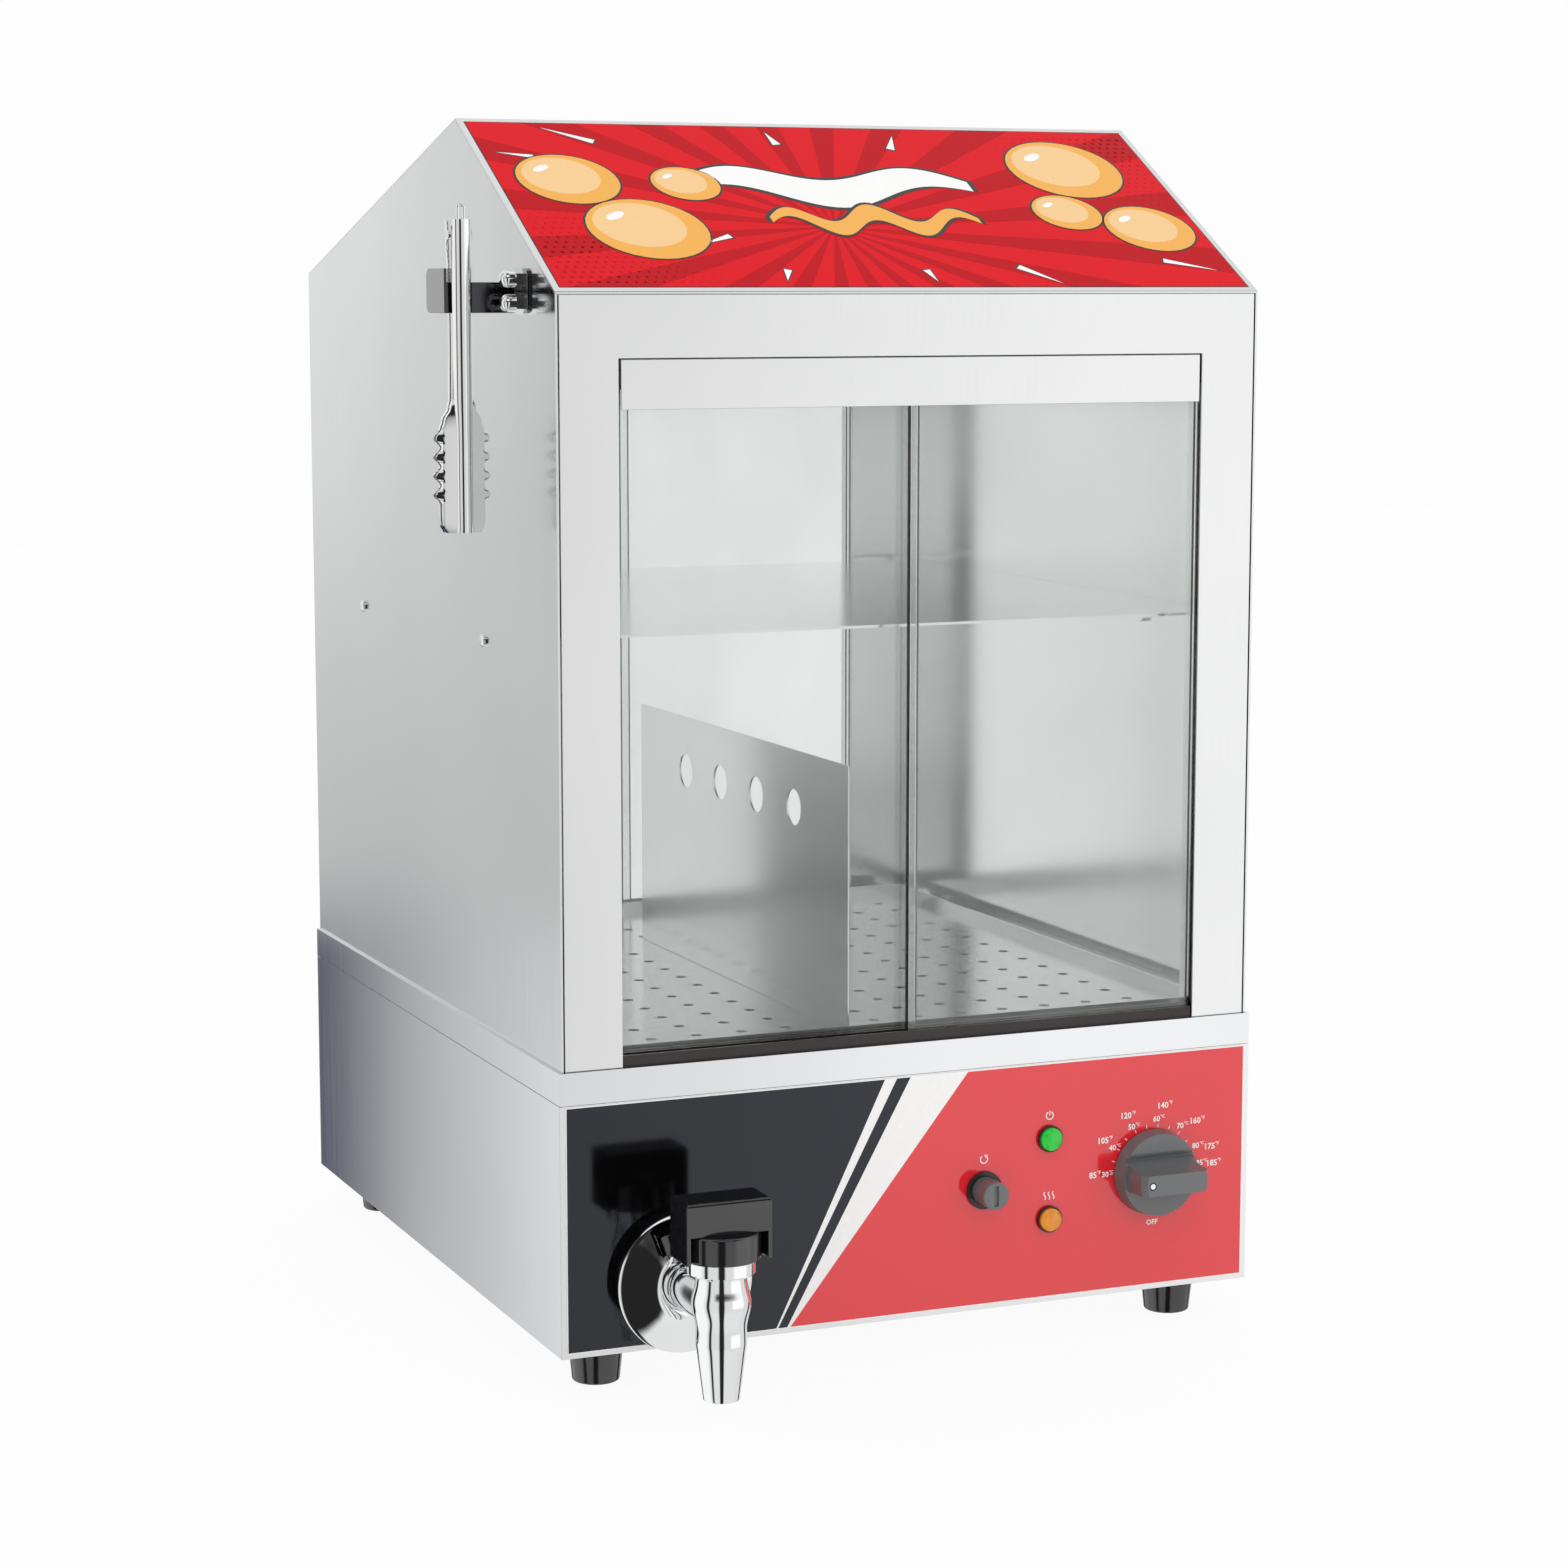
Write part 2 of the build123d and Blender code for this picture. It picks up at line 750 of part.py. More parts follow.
gland_flange_radius = 11.5
gland_flange = 4.0
gland_dome_radius = 9.0
gland_thread_depth = 12.0
gland_dome_round = 2.5
gland_inner_end = inner_back - gland_thread_depth

with BuildPart() as cable_gland:
    hexagon("y", gland_at, (wall_back, wall_back + gland_flange), 2 * gland_flange_radius)
    rod("y", gland_at, (wall_back + gland_flange, wall_back + gland_projection), gland_dome_radius)
    fillet(cable_gland.edges().group_by(Axis.Y)[-1], radius=gland_dome_round)
    rod("y", gland_at, (gland_inner_end, wall_back), gland_radius)
    rod("y", gland_at, (gland_inner_end, wall_back + gland_projection), gland_bore, Mode.SUBTRACT)

cable_gland.part.label = "cable_gland"
export_step(cable_gland.part, "parts/cable_gland.step")

tap_nut_height = 6.0
tap_nut_flats = 28.0
lamp_nut_height = 3.0
lamp_nut_flats = 16.0
gland_nut_height = 5.0
gland_nut_flats = 22.0
element_nut_height = 5.0
element_nut_flats = 14.0

with BuildPart() as panel_nuts:
    for control, nut_height, nut_flats, radius in (
        ("tap", tap_nut_height, tap_nut_flats, shank_radius),
        ("power", lamp_nut_height, lamp_nut_flats, lamp_barrel_radius),
        ("heating", lamp_nut_height, lamp_nut_flats, lamp_barrel_radius),
    ):
        nut_span = (inner_front, inner_front + nut_height)
        hexagon("y", control_points[control], nut_span, nut_flats)
        rod("y", control_points[control], nut_span, radius + running, Mode.SUBTRACT)
    bush_nut_span = (overlay_face - bush_nut_height, overlay_face)
    hexagon("y", knob_at, bush_nut_span, bush_nut_flats)
    rod("y", knob_at, bush_nut_span, knob_bush_radius + running, Mode.SUBTRACT)
    hexagon("y", gland_at, (inner_back - gland_nut_height, inner_back), gland_nut_flats)
    rod("y", gland_at, (inner_back - gland_nut_height, inner_back), gland_radius + running, Mode.SUBTRACT)
    for side in (-1, 1):
        element_leg = (element_x + side * element_gap / 2, element_z)
        nut_span = (well_front - sheet - element_nut_height, well_front - sheet)
        hexagon("y", element_leg, nut_span, element_nut_flats)
        rod("y", element_leg, nut_span, element_radius + running, Mode.SUBTRACT)

panel_nuts.part.label = "panel_nuts"
export_step(panel_nuts.part, "parts/panel_nuts.step")

# ------------------------------------------------------------------ thermostat knob

grip_offset = 0.8
grip_length = 41.0
grip_round = 2.0
knob_back_gap = 0.8
knob_recess_radius = 9.5
knob_recess_depth = bush_nut_height + 2 * free
knob_back = overlay_face - knob_back_gap
knob_face = overlay_face - knob_skirt
knob_front = overlay_face - knob_projection
knob_dish = 1.5
knob_dish_border = 1.4
knob_dish_radius = knob_face_radius - knob_dish_border
knob_edge = 0.8
grip_edge = 1.2

with BuildPart() as knob:
    boss(knob_at, knob_back, knob_face, knob_radius, knob_face_radius)
    fillet(knob.edges().group_by(Axis.Y)[0], radius=knob_edge)
    rod("y", knob_at, (knob_face, knob_face + knob_dish), knob_dish_radius, Mode.SUBTRACT)
    with BuildSketch(Plane.XZ.offset(-(knob_face + knob_dish))):
        with Locations((knob_at[0], knob_at[1] - grip_offset)):
            RectangleRounded(grip_length, grip_width, grip_round)
    extrude(amount=knob_face + knob_dish - knob_front)
    fillet(knob.edges().group_by(Axis.Y)[0], radius=grip_edge)
    rod("y", knob_at, (knob_back - knob_recess_depth, knob_back), knob_recess_radius, Mode.SUBTRACT)
    rod("y", knob_at, (shaft_front, knob_back), shaft_radius + running, Mode.SUBTRACT)

knob.part.label = "knob"
export_step(knob.part, "parts/knob.step")

# ------------------------------------------------------------------ drain tap

tap_axis = (left + tap_x, front - tap_reach)
tap_turn = Axis((tap_axis[0], tap_axis[1], 0), (0, 0, 1))
tap_bore_radius = 6.5
spout_bottom = base_bottom - spout_drop
shoulder_z = base_bottom + shoulder_rise
waist_z = base_bottom + waist_rise
bulge_z = base_bottom + bulge_rise
neck_z = base_bottom + neck_rise
collar_top = neck_z + collar_height
cap_top = collar_top + cap_height
handle_top = cap_top + handle_height
spout_radius = 9.5
shoulder_radius = 13.1
waist_radius = 13.0
bulge_radius = 15.4
neck_radius = 13.0
collar_radius = 17.6
hub_radius = 12.5
chamber_radius = 9.0
seat_rise = 20.0
seat_thickness = 4.0
seat_bottom = base_bottom + seat_rise
seat_top = seat_bottom + seat_thickness
seat_bore = 4.6
spout_bore = 7.0
stem_radius = 3.0
plug_radius = 6.0
plug_height = 4.0
escutcheon_face = overlay_face - escutcheon_depth
escutcheon_hub = 2.0
escutcheon_hub_radius = 17.0
escutcheon_rim = 2.4

with BuildPart() as tap_escutcheon:
    rod("y", tap_at, (escutcheon_face, overlay_face), escutcheon_radius)
    fillet(tap_escutcheon.edges().group_by(Axis.Y)[0], radius=escutcheon_rim)
    rod("y", tap_at, (escutcheon_face + sheet, overlay_face), escutcheon_radius - sheet, Mode.SUBTRACT)
    rod("y", tap_at, (escutcheon_face - escutcheon_hub, escutcheon_face), escutcheon_hub_radius)
    rod("y", tap_at, (escutcheon_face - escutcheon_hub, escutcheon_face), hub_radius + running, Mode.SUBTRACT)
    rod("y", tap_at, (escutcheon_face, overlay_face), shank_radius + running, Mode.SUBTRACT)

tap_escutcheon.part.label = "tap_escutcheon"
export_step(tap_escutcheon.part, "parts/tap_escutcheon.step")

with BuildPart() as tap_body:
    with BuildSketch(Plane.XZ.offset(-tap_axis[1])):
        with BuildLine(Location((tap_axis[0], 0))):
            Polyline(
                (0, neck_z),
                (0, spout_bottom),
                (spout_radius, spout_bottom),
                (shoulder_radius, shoulder_z),
                (waist_radius, waist_z),
            )
            ThreePointArc((waist_radius, waist_z), (bulge_radius, bulge_z), (neck_radius, neck_z))
            Line((neck_radius, neck_z), (0, neck_z))
        make_face()
    revolve(axis=tap_turn)
    rod("y", tap_at, (tap_axis[1], escutcheon_face), hub_radius)
    rod("y", tap_at, (escutcheon_face, shank_end), shank_radius)
    rod("z", tap_axis, (seat_top, neck_z), chamber_radius, Mode.SUBTRACT)
    rod("z", tap_axis, (seat_bottom, seat_top), seat_bore, Mode.SUBTRACT)
    rod("z", tap_axis, (spout_bottom, seat_bottom), spout_bore, Mode.SUBTRACT)
    rod("y", tap_at, (tap_axis[1], shank_end), tap_bore_radius, Mode.SUBTRACT)

tap_body.part.label = "tap_body"
export_step(tap_body.part, "parts/tap_body.step")

bonnet_plug = 5.0
with BuildPart() as tap_bonnet:
    rod("z", tap_axis, (neck_z, collar_top), collar_radius)
    rod("z", tap_axis, (neck_z - bonnet_plug, neck_z), chamber_radius - running)
    rod("z", tap_axis, (neck_z - bonnet_plug, collar_top), stem_radius + running, Mode.SUBTRACT)

tap_bonnet.part.label = "tap_bonnet"
export_step(tap_bonnet.part, "parts/tap_bonnet.step")

cap_crown = 4.0
cap_edge = 1.2
cap_bore = collar_radius + free
stem_engagement = 8.0
with BuildPart() as tap_cap:
    rod("z", tap_axis, (collar_top, cap_top), cap_radius)
    fillet(tap_cap.edges().group_by(Axis.Z)[-1], radius=cap_edge)
    rod("z", tap_axis, (collar_top, cap_top - cap_crown), cap_bore, Mode.SUBTRACT)
    rod("z", tap_axis, (collar_top, cap_top), stem_radius + running, Mode.SUBTRACT)

tap_cap.part.label = "tap_cap"
export_step(tap_cap.part, "parts/tap_cap.step")

with BuildPart() as tap_stem:
    rod("z", tap_axis, (seat_bottom - plug_height, cap_top + stem_engagement), stem_radius)
    rod("z", tap_axis, (seat_bottom - plug_height, seat_bottom), plug_radius)

tap_stem.part.label = "tap_stem"
export_step(tap_stem.part, "parts/tap_stem.step")

spring_wire = 0.5
spring_radius = 8.0
spring_turns = 3
spring_bottom = collar_top + spring_wire
spring_top = cap_top - cap_crown - spring_wire

with BuildPart() as tap_spring:
    with BuildLine() as spring_path:
        Helix((spring_top - spring_bottom) / spring_turns, spring_top - spring_bottom, spring_radius,
              center=(tap_axis[0], tap_axis[1], spring_bottom))
    with BuildSketch(Plane(spring_path.line @ 0, z_dir=spring_path.line % 0)):
        Circle(spring_wire)
    sweep(is_frenet=True)

tap_spring.part.label = "tap_spring"
export_step(tap_spring.part, "parts/tap_spring.step")

handle_skirt_drop = cap_height - free
handle_skirt_bottom = cap_top - handle_skirt_drop
handle_edge = 2.0

with BuildPart() as tap_handle:
    block(
        (tap_axis[0] - handle_length / 2, tap_axis[0] + handle_length / 2),
        (tap_axis[1] - handle_depth / 2, tap_axis[1] + handle_depth / 2),
        (handle_skirt_bottom, handle_top),
    )
    fillet(tap_handle.edges().group_by(Axis.Z)[-1], radius=handle_edge)
    block(
        (tap_axis[0] - cap_radius - free, tap_axis[0] + cap_radius + free),
        (tap_axis[1] - handle_depth / 2, tap_axis[1] + handle_depth / 2),
        (handle_skirt_bottom, cap_top),
        Mode.SUBTRACT,
    )
    rod("z", tap_axis, (cap_top, cap_top + stem_engagement), stem_radius + running, Mode.SUBTRACT)

tap_handle.part.label = "tap_handle"
export_step(tap_handle.part, "parts/tap_handle.step")

# ------------------------------------------------------------------ cabinet shell

frame_left = left + sheet + seam_gap
frame_right = right - sheet - seam_gap
under_front_eave = front_eave - roof_skin * front_slope_factor
under_back_eave = back_eave - roof_skin * back_slope_factor
under_ridge = ridge_z - roof_skin * front_slope_factor
flange_front = front + flange_width + free
flange_back = back - flange_width - free
shelf_top = rim_top + shelf_height
shelf_screw_z = shelf_top - shelf_screw_drop
shelf_screws_at = [(front + shelf_screw_front, shelf_screw_z), (front + shelf_screw_back, shelf_screw_z)]
bracket_nut_setback = 10.2
bracket_nut_heights = (5.0, 17.0)
bracket_nuts_at = [
    (front + bracket_y - bracket_nut_setback, rim_top + bracket_z + height) for height in bracket_nut_heights
]

with BuildPart() as left_side_panel:
    with BuildSketch(Plane.YZ.offset(left)):
        with BuildLine():
            Polyline(
                (front, rim_top),
                (back, rim_top),
                (back, under_back_eave),
                (ridge_y, under_ridge),
                (front, under_front_eave),
                close=True,
            )
        make_face()
    extrude(amount=sheet)
    block((left, left + sheet + flange_width), (flange_front, flange_back), (rim_top, rim_top + sheet))
    roof_strip(
        (left, left + sheet + flange_width),
        (flange_front, ridge_y),
        roof_skin,
        roof_skin + sheet,
        front_slope_factor,
    )
    roof_strip(
        (left, left + sheet + flange_width),
        (ridge_y, flange_back),
        roof_skin + (front_slope_factor - back_slope_factor) * sheet,
        roof_skin + sheet,
        back_slope_factor,
    )
    for place in shelf_screws_at:
        rod("x", place, (left, left + sheet), shelf_screw_radius + running, Mode.SUBTRACT)
    for x, y in cabinet_screws_at:
        if x < middle_x:
            rod("z", (x, y), (rim_top, rim_top + sheet), cabinet_screw_radius + running, Mode.SUBTRACT)

with BuildPart() as right_side_panel:
    mirror(left_side_panel.part, about=Plane.YZ.offset(middle_x))

right_side_panel.part.label = "right_side_panel"
export_step(right_side_panel.part, "parts/right_side_panel.step")

with BuildPart() as drilled_side_panel:
    add(left_side_panel.part)
    for place in bracket_nuts_at:
        rod("x", place, (left, left + sheet), bracket_screw_radius + running, Mode.SUBTRACT)

drilled_side_panel.part.label = "left_side_panel"
export_step(drilled_side_panel.part, "parts/left_side_panel.step")


def frame_sheet(face, inward, stile, top):
    """Stiles, lintel and return flanges round one door opening, in the active part."""
    low_edge = left + stile
    high_edge = right - stile
    opening = (rim_top, opening_top)
    block((frame_left, frame_right), (face, face + inward * sheet), (rim_top, top))
    block((low_edge, high_edge), (face, face + inward * sheet), opening, Mode.SUBTRACT)
    jamb = (rim_top, opening_top + sheet)
    block((low_edge, high_edge), (face, face + inward * return_depth), (opening_top, opening_top + sheet))
    block((low_edge - sheet, low_edge), (face, face + inward * return_depth), jamb)
    block((high_edge, high_edge + sheet), (face, face + inward * return_depth), jamb)
    block((frame_left, frame_left + sheet), (face, face + inward * flange_width), (rim_top, top))
    block((frame_right - sheet, frame_right), (face, face + inward * flange_width), (rim_top, top))


with BuildPart() as front_frame:
    frame_sheet(front, 1, stile_width, under_front_eave)

front_frame.part.label = "front_frame"
export_step(front_frame.part, "parts/front_frame.step")

with BuildPart() as rear_frame:
    frame_sheet(back, -1, rear_stile_width, under_back_eave)

rear_frame.part.label = "rear_frame"
export_step(rear_frame.part, "parts/rear_frame.step")

with BuildPart() as roof_front_panel:
    roof_strip((left, right), (front, ridge_y), 0, roof_skin, front_slope_factor)

roof_front_panel.part.label = "roof_front_panel"
export_step(roof_front_panel.part, "parts/roof_front_panel.step")

with BuildPart() as roof_rear_panel:
    roof_strip((left, right), (ridge_y, back), 0, roof_skin, back_slope_factor)

roof_rear_panel.part.label = "roof_rear_panel"
export_step(roof_rear_panel.part, "parts/roof_rear_panel.step")

graphic_margin = 2.5
graphic_thickness = 0.4

with BuildPart() as roof_graphic_panel:
    roof_strip(
        (left + graphic_margin, right - graphic_margin),
        (front + graphic_margin, ridge_y - graphic_margin),
        -graphic_thickness,
        0,
        front_slope_factor,
    )

roof_graphic_panel.part.label = "roof_graphic_panel"
export_step(roof_graphic_panel.part, "parts/roof_graphic_panel.step")

# ------------------------------------------------------------------ door headers, tracks and glass doors

header_gap = 1.2
header_top_gap = 0.5
header_top = opening_top - header_top_gap
header_bottom = opening_top - header_height
track_depth = 3 * track_wall + 2 * groove
door_faces = {"front": (front, 1, stile_width), "rear": (back, -1, rear_stile_width)}

with BuildPart() as door_headers:
    for face, inward, stile in door_faces.values():
        header_run = (left + stile + header_gap, right - stile - header_gap)
        block(header_run, (face, face + inward * sheet), (header_bottom, header_top))

door_headers.part.label = "door_headers"
export_step(door_headers.part, "parts/door_headers.step")


def track_section(face, inward, stile, span, groove_span):
    """Double channel behind one opening, in the active part, whose grooves cover `groove_span`."""
    near = face + inward * sheet
    length = (left + stile + free, right - stile - free)
    block(length, (near, near + inward * track_depth), span)
    for lane in (0, 1):
        lane_near = near + inward * (track_wall + lane * (groove + track_wall))
        block(length, (lane_near, lane_near + inward * groove), groove_span, Mode.SUBTRACT)


with BuildPart() as top_tracks:
    for face, inward, stile in door_faces.values():
        track_bottom = opening_top - track_wall - hanging_wall
        track_section(
            face, inward, stile, (track_bottom, opening_top), (track_bottom, opening_top - track_wall)
        )

top_tracks.part.label = "top_tracks"
export_step(top_tracks.part, "parts/top_tracks.step")

with BuildPart() as bottom_tracks:
    for face, inward, stile in door_faces.values():
        track_top = rim_top + track_height
        track_section(face, inward, stile, (rim_top, track_top), (rim_top + track_wall, track_top))

bottom_tracks.part.label = "bottom_tracks"
export_step(bottom_tracks.part, "parts/bottom_tracks.step")

door_bottom = rim_top + track_wall
door_top = header_bottom + door_top_engagement
door_edge = 0.6
door_lanes = {
    "front_left_door": ("front", -1, 1),
    "front_right_door": ("front", 1, 0),
    "rear_left_door": ("rear", -1, 0),
    "rear_right_door": ("rear", 1, 1),
}

for door_name, (face_name, side, lane) in door_lanes.items():
    face, inward, stile = door_faces[face_name]
    door_width = (cabinet_width - 2 * stile - 2 * door_gap + door_overlap) / 2
    jamb = left + stile + door_gap if side < 0 else right - stile - door_gap
    lane_near = face + inward * (sheet + track_wall + lane * (groove + track_wall) + (groove - glass) / 2)
    with BuildPart() as door:
        block(
            (jamb, jamb - side * door_width),
            (lane_near, lane_near + inward * glass),
            (door_bottom, door_top),
        )
        chamfer(door.edges().filter_by(Axis.Z), length=door_edge)
    door.part.label = door_name
    export_step(door.part, f"parts/{door_name}.step")

# ------------------------------------------------------------------ bun shelf, tray and divider

shelf_left = left + sheet + free
shelf_right = right - sheet - free
shelf_sheet = 1.5

with BuildPart() as bun_shelf:
    block(
        (shelf_left, shelf_right),
        (front + shelf_front, back - shelf_back_gap),
        (shelf_top - shelf_sheet, shelf_top),
    )
    for wall, side in ((shelf_left, 1), (shelf_right, -1)):
        block(
            (wall, wall + side * shelf_sheet),
            (front + shelf_front, back - shelf_back_gap),
            (shelf_top - shelf_flange, shelf_top),
        )
        for place in shelf_screws_at:
            rod("x", place, (wall, wall + side * shelf_sheet), shelf_screw_radius + running, Mode.SUBTRACT)

bun_shelf.part.label = "bun_shelf"
export_step(bun_shelf.part, "parts/bun_shelf.step")

shelf_head_radius = 3.4
shelf_head_height = 2.4
shelf_head_round = 1.6
shelf_nut_height = 3.0
shelf_nut_flats = 7.0

with BuildPart() as shelf_screws:
    for wall, outward, seat in ((left, -1, shelf_left), (right, 1, shelf_right)):
        nut_near = seat - outward * shelf_sheet
        nut_far = nut_near - outward * shelf_nut_height
        for place in shelf_screws_at:
            hexagon("x", place, (nut_near, nut_far), shelf_nut_flats)
            rod("x", place, (nut_near, nut_far), shelf_screw_radius + running, Mode.SUBTRACT)
            rod("x", place, (wall, nut_far), shelf_screw_radius)
            rod("x", place, (wall, wall + outward * shelf_head_height), shelf_head_radius)
    fillet(
        shelf_screws.edges().filter_by(GeomType.CIRCLE).group_by(Axis.X)[0]
        + shelf_screws.edges().filter_by(GeomType.CIRCLE).group_by(Axis.X)[-1],
        radius=shelf_head_round,
    )

shelf_screws.part.label = "shelf_screws"
export_step(shelf_screws.part, "parts/shelf_screws.step")

cabinet_head_radius = 3.4
cabinet_head_height = 2.0
cabinet_nut_height = 3.0
cabinet_nut_flats = 7.0

with BuildPart() as cabinet_screws:
    for place in cabinet_screws_at:
        pan_underside = rim_top - sheet
        nut_bottom = pan_underside - cabinet_nut_height
        hexagon("z", place, (nut_bottom, pan_underside), cabinet_nut_flats)
        rod("z", place, (nut_bottom, pan_underside), cabinet_screw_radius + running, Mode.SUBTRACT)
        rod("z", place, (nut_bottom, rim_top + sheet), cabinet_screw_radius)
        rod("z", place, (rim_top + sheet, rim_top + sheet + cabinet_head_height), cabinet_head_radius)

cabinet_screws.part.label = "cabinet_screws"
export_step(cabinet_screws.part, "parts/cabinet_screws.step")

tray_left = left + tray_side_gap
tray_right = right - tray_side_gap
tray_front_y = front + tray_front
tray_back_y = back - tray_back_gap
tray_lip = 7.0
tray_top = rim_top + sheet
tray_columns = int((tray_right - tray_left - tray_hole_pitch) / tray_hole_pitch)
tray_rows = int((tray_back_y - tray_front_y - tray_hole_pitch) / tray_hole_pitch)

with BuildPart() as hot_dog_tray:
    block((tray_left, tray_right), (tray_front_y, tray_back_y), (rim_top, rim_top + tray_lip))
    block(
        (tray_left + sheet, tray_right - sheet),
        (tray_front_y + sheet, tray_back_y - sheet),
        (tray_top, rim_top + tray_lip),
        Mode.SUBTRACT,
    )
    with BuildSketch(Plane.XY.offset(rim_top)):
        with Locations(((tray_left + tray_right) / 2, (tray_front_y + tray_back_y) / 2)):
            with GridLocations(tray_hole_pitch, tray_hole_pitch, tray_columns, tray_rows):
                Circle(tray_hole_radius)
    extrude(amount=sheet, mode=Mode.SUBTRACT)

hot_dog_tray.part.label = "hot_dog_tray"
export_step(hot_dog_tray.part, "parts/hot_dog_tray.step")

divider_y = front + divider_front
divider_plane = left + divider_x
divider_top = tray_top + divider_height
divider_hole_count = 4

with BuildPart() as divider:
    block(
        (divider_plane - sheet / 2, divider_plane + sheet / 2),
        (divider_y, divider_y + divider_length),
        (tray_top, divider_top),
    )
    block(
        (divider_plane - sheet / 2, divider_plane + divider_foot),
        (divider_y, divider_y + divider_length),
        (tray_top, tray_top + sheet),
    )
    for number in range(divider_hole_count):
        hole_y = divider_y + divider_length / 2 + (number - (divider_hole_count - 1) / 2) * divider_hole_pitch
        rod(
            "x",
            (hole_y, divider_top - divider_hole_drop),
            (divider_plane - sheet, divider_plane + sheet),
            divider_hole_radius,
            Mode.SUBTRACT,
        )

divider.part.label = "divider"
export_step(divider.part, "parts/divider.step")

# ------------------------------------------------------------------ tongs bracket on the left wall

plate_front = front + bracket_y
plate_back = plate_front + bracket_sheet
plate_middle = (plate_front + plate_back) / 2
bracket_bottom = rim_top + bracket_z
bracket_top = bracket_bottom + bracket_height
bracket_flange_top = bracket_bottom + bracket_flange_height
bracket_corner = 4.0

with BuildPart() as tongs_bracket:
    block((left - bracket_reach, left), (plate_front, plate_back), (bracket_bottom, bracket_top))
    block(
        (left - bracket_sheet, left),
        (plate_back - bracket_foot_length, plate_back),
        (bracket_bottom, bracket_flange_top),
    )
    block(
        (left - bracket_reach, left - bracket_reach + bracket_sheet),
        (plate_front, plate_front + bracket_flange_length),
        (bracket_bottom, bracket_flange_top),
    )
    flange_ends = tongs_bracket.edges().filter_by(Axis.X).filter_by(
        lambda edge: edge.length < 2 * bracket_sheet
    )
    fillet(flange_ends.group_by(Axis.Y)[0] + flange_ends.group_by(Axis.Y)[-1], radius=bracket_corner)
    for place in bracket_nuts_at:
        rod("x", place, (left - bracket_sheet, left), bracket_screw_radius + running, Mode.SUBTRACT)

tongs_bracket.part.label = "tongs_bracket"
export_step(tongs_bracket.part, "parts/tongs_bracket.step")

acorn_flats = 10.0
acorn_hex_height = 4.5
acorn_dome_radius = 4.6
acorn_height = 11.8
acorn_round = 4.0
bracket_head_radius = 3.8
bracket_head_height = 2.2

with BuildPart() as bracket_nuts:
    for place in bracket_nuts_at:
        nut_seat = left - bracket_sheet
        hexagon("x", place, (nut_seat - acorn_hex_height, nut_seat), acorn_flats)
        rod("x", place, (nut_seat - acorn_height, nut_seat - acorn_hex_height), acorn_dome_radius)
    fillet(bracket_nuts.edges().group_by(Axis.X)[0], radius=acorn_round)
    for place in bracket_nuts_at:
        stud_hole = (nut_seat - acorn_hex_height, nut_seat)
        rod("x", place, stud_hole, bracket_screw_radius + running, Mode.SUBTRACT)
        rod("x", place, (nut_seat - acorn_hex_height, left + sheet), bracket_screw_radius)
        rod("x", place, (left + sheet, left + sheet + bracket_head_height), bracket_head_radius)

bracket_nuts.part.label = "bracket_nuts"
export_step(bracket_nuts.part, "parts/bracket_nuts.step")

# ------------------------------------------------------------------ tongs

tongs_x = left - tongs_offset
tongs_head = rim_top + tongs_top
tongs_pin_z = tongs_head - tongs_pin_drop
jaw_bottom = tongs_head - tongs_length
jaw_top = jaw_bottom + jaw_length
tongs_pin_radius = 1.5
ear_radius = 4.0
ear_outer = arm_width / 2
ear_inner = ear_outer - arm_sheet - free
arm_shoulder_drop = 7.0
arm_shoulder = tongs_pin_z - arm_shoulder_drop
jaw_web = 9.0
first_tooth = 14.0
rest_tab_width = 6.0
rest_tab_reach = 12.0


def arm_channel(outer, inward, wall_top):
    """Web, side walls and toothed jaw of one tongs arm, in the active part."""
    edge = outer + inward * arm_depth
    web = (outer, outer + inward * arm_sheet)
    block((tongs_x - arm_width / 2, tongs_x + arm_width / 2), web, (jaw_top, tongs_head))
    block((tongs_x - jaw_web, tongs_x + jaw_web), web, (jaw_bottom, jaw_top))
    for side in (-1, 1):
        arm_side = tongs_x + side * arm_width / 2
        jaw_side = tongs_x + side * jaw_web
        block((arm_side, arm_side - side * arm_sheet), (outer, edge), (jaw_top, wall_top))
        block((jaw_side, jaw_side - side * arm_sheet), (outer, edge), (jaw_bottom, jaw_top))
        outline = [(side * (jaw_web - arm_sheet), jaw_top), (side * jaw_half_width, jaw_top)]
        for tooth in range(tooth_count):
            tip = jaw_top - first_tooth - tooth * tooth_pitch
            outline.append((side * jaw_half_width, tip + tooth_pitch / 2))
            outline.append((side * (jaw_half_width + tooth_depth), tip))
        last_valley = jaw_top - first_tooth - (tooth_count - 0.5) * tooth_pitch
        outline.append((side * jaw_half_width, last_valley))
        outline.append((side * jaw_half_width, jaw_bottom))
        outline.append((side * (jaw_web - arm_sheet), jaw_bottom))
        with BuildSketch(Plane.XZ.offset(-edge)) as brim:
            with BuildLine(Location((tongs_x, 0))):
                Polyline(*outline, close=True)
            make_face()
        extrude(brim.sketch, amount=inward * arm_sheet)


def hinge_ears(outer, half_width):
    """Pair of round ears that carry one arm on the tongs' pin, in the active part."""
    for side in (-1, 1):
        ear = (tongs_x + side * half_width, tongs_x + side * (half_width - arm_sheet))
        rod("x", (plate_middle, tongs_pin_z), ear, ear_radius)
        block(
            ear,
            (outer, plate_middle),
            (tongs_pin_z - ear_radius, tongs_pin_z + ear_radius),
        )
    pin_span = (tongs_x - arm_width, tongs_x + arm_width)
    rod("x", (plate_middle, tongs_pin_z), pin_span, tongs_pin_radius + running, Mode.SUBTRACT)


front_arm_face = plate_front - free - arm_depth
rear_arm_face = plate_back + free + arm_depth

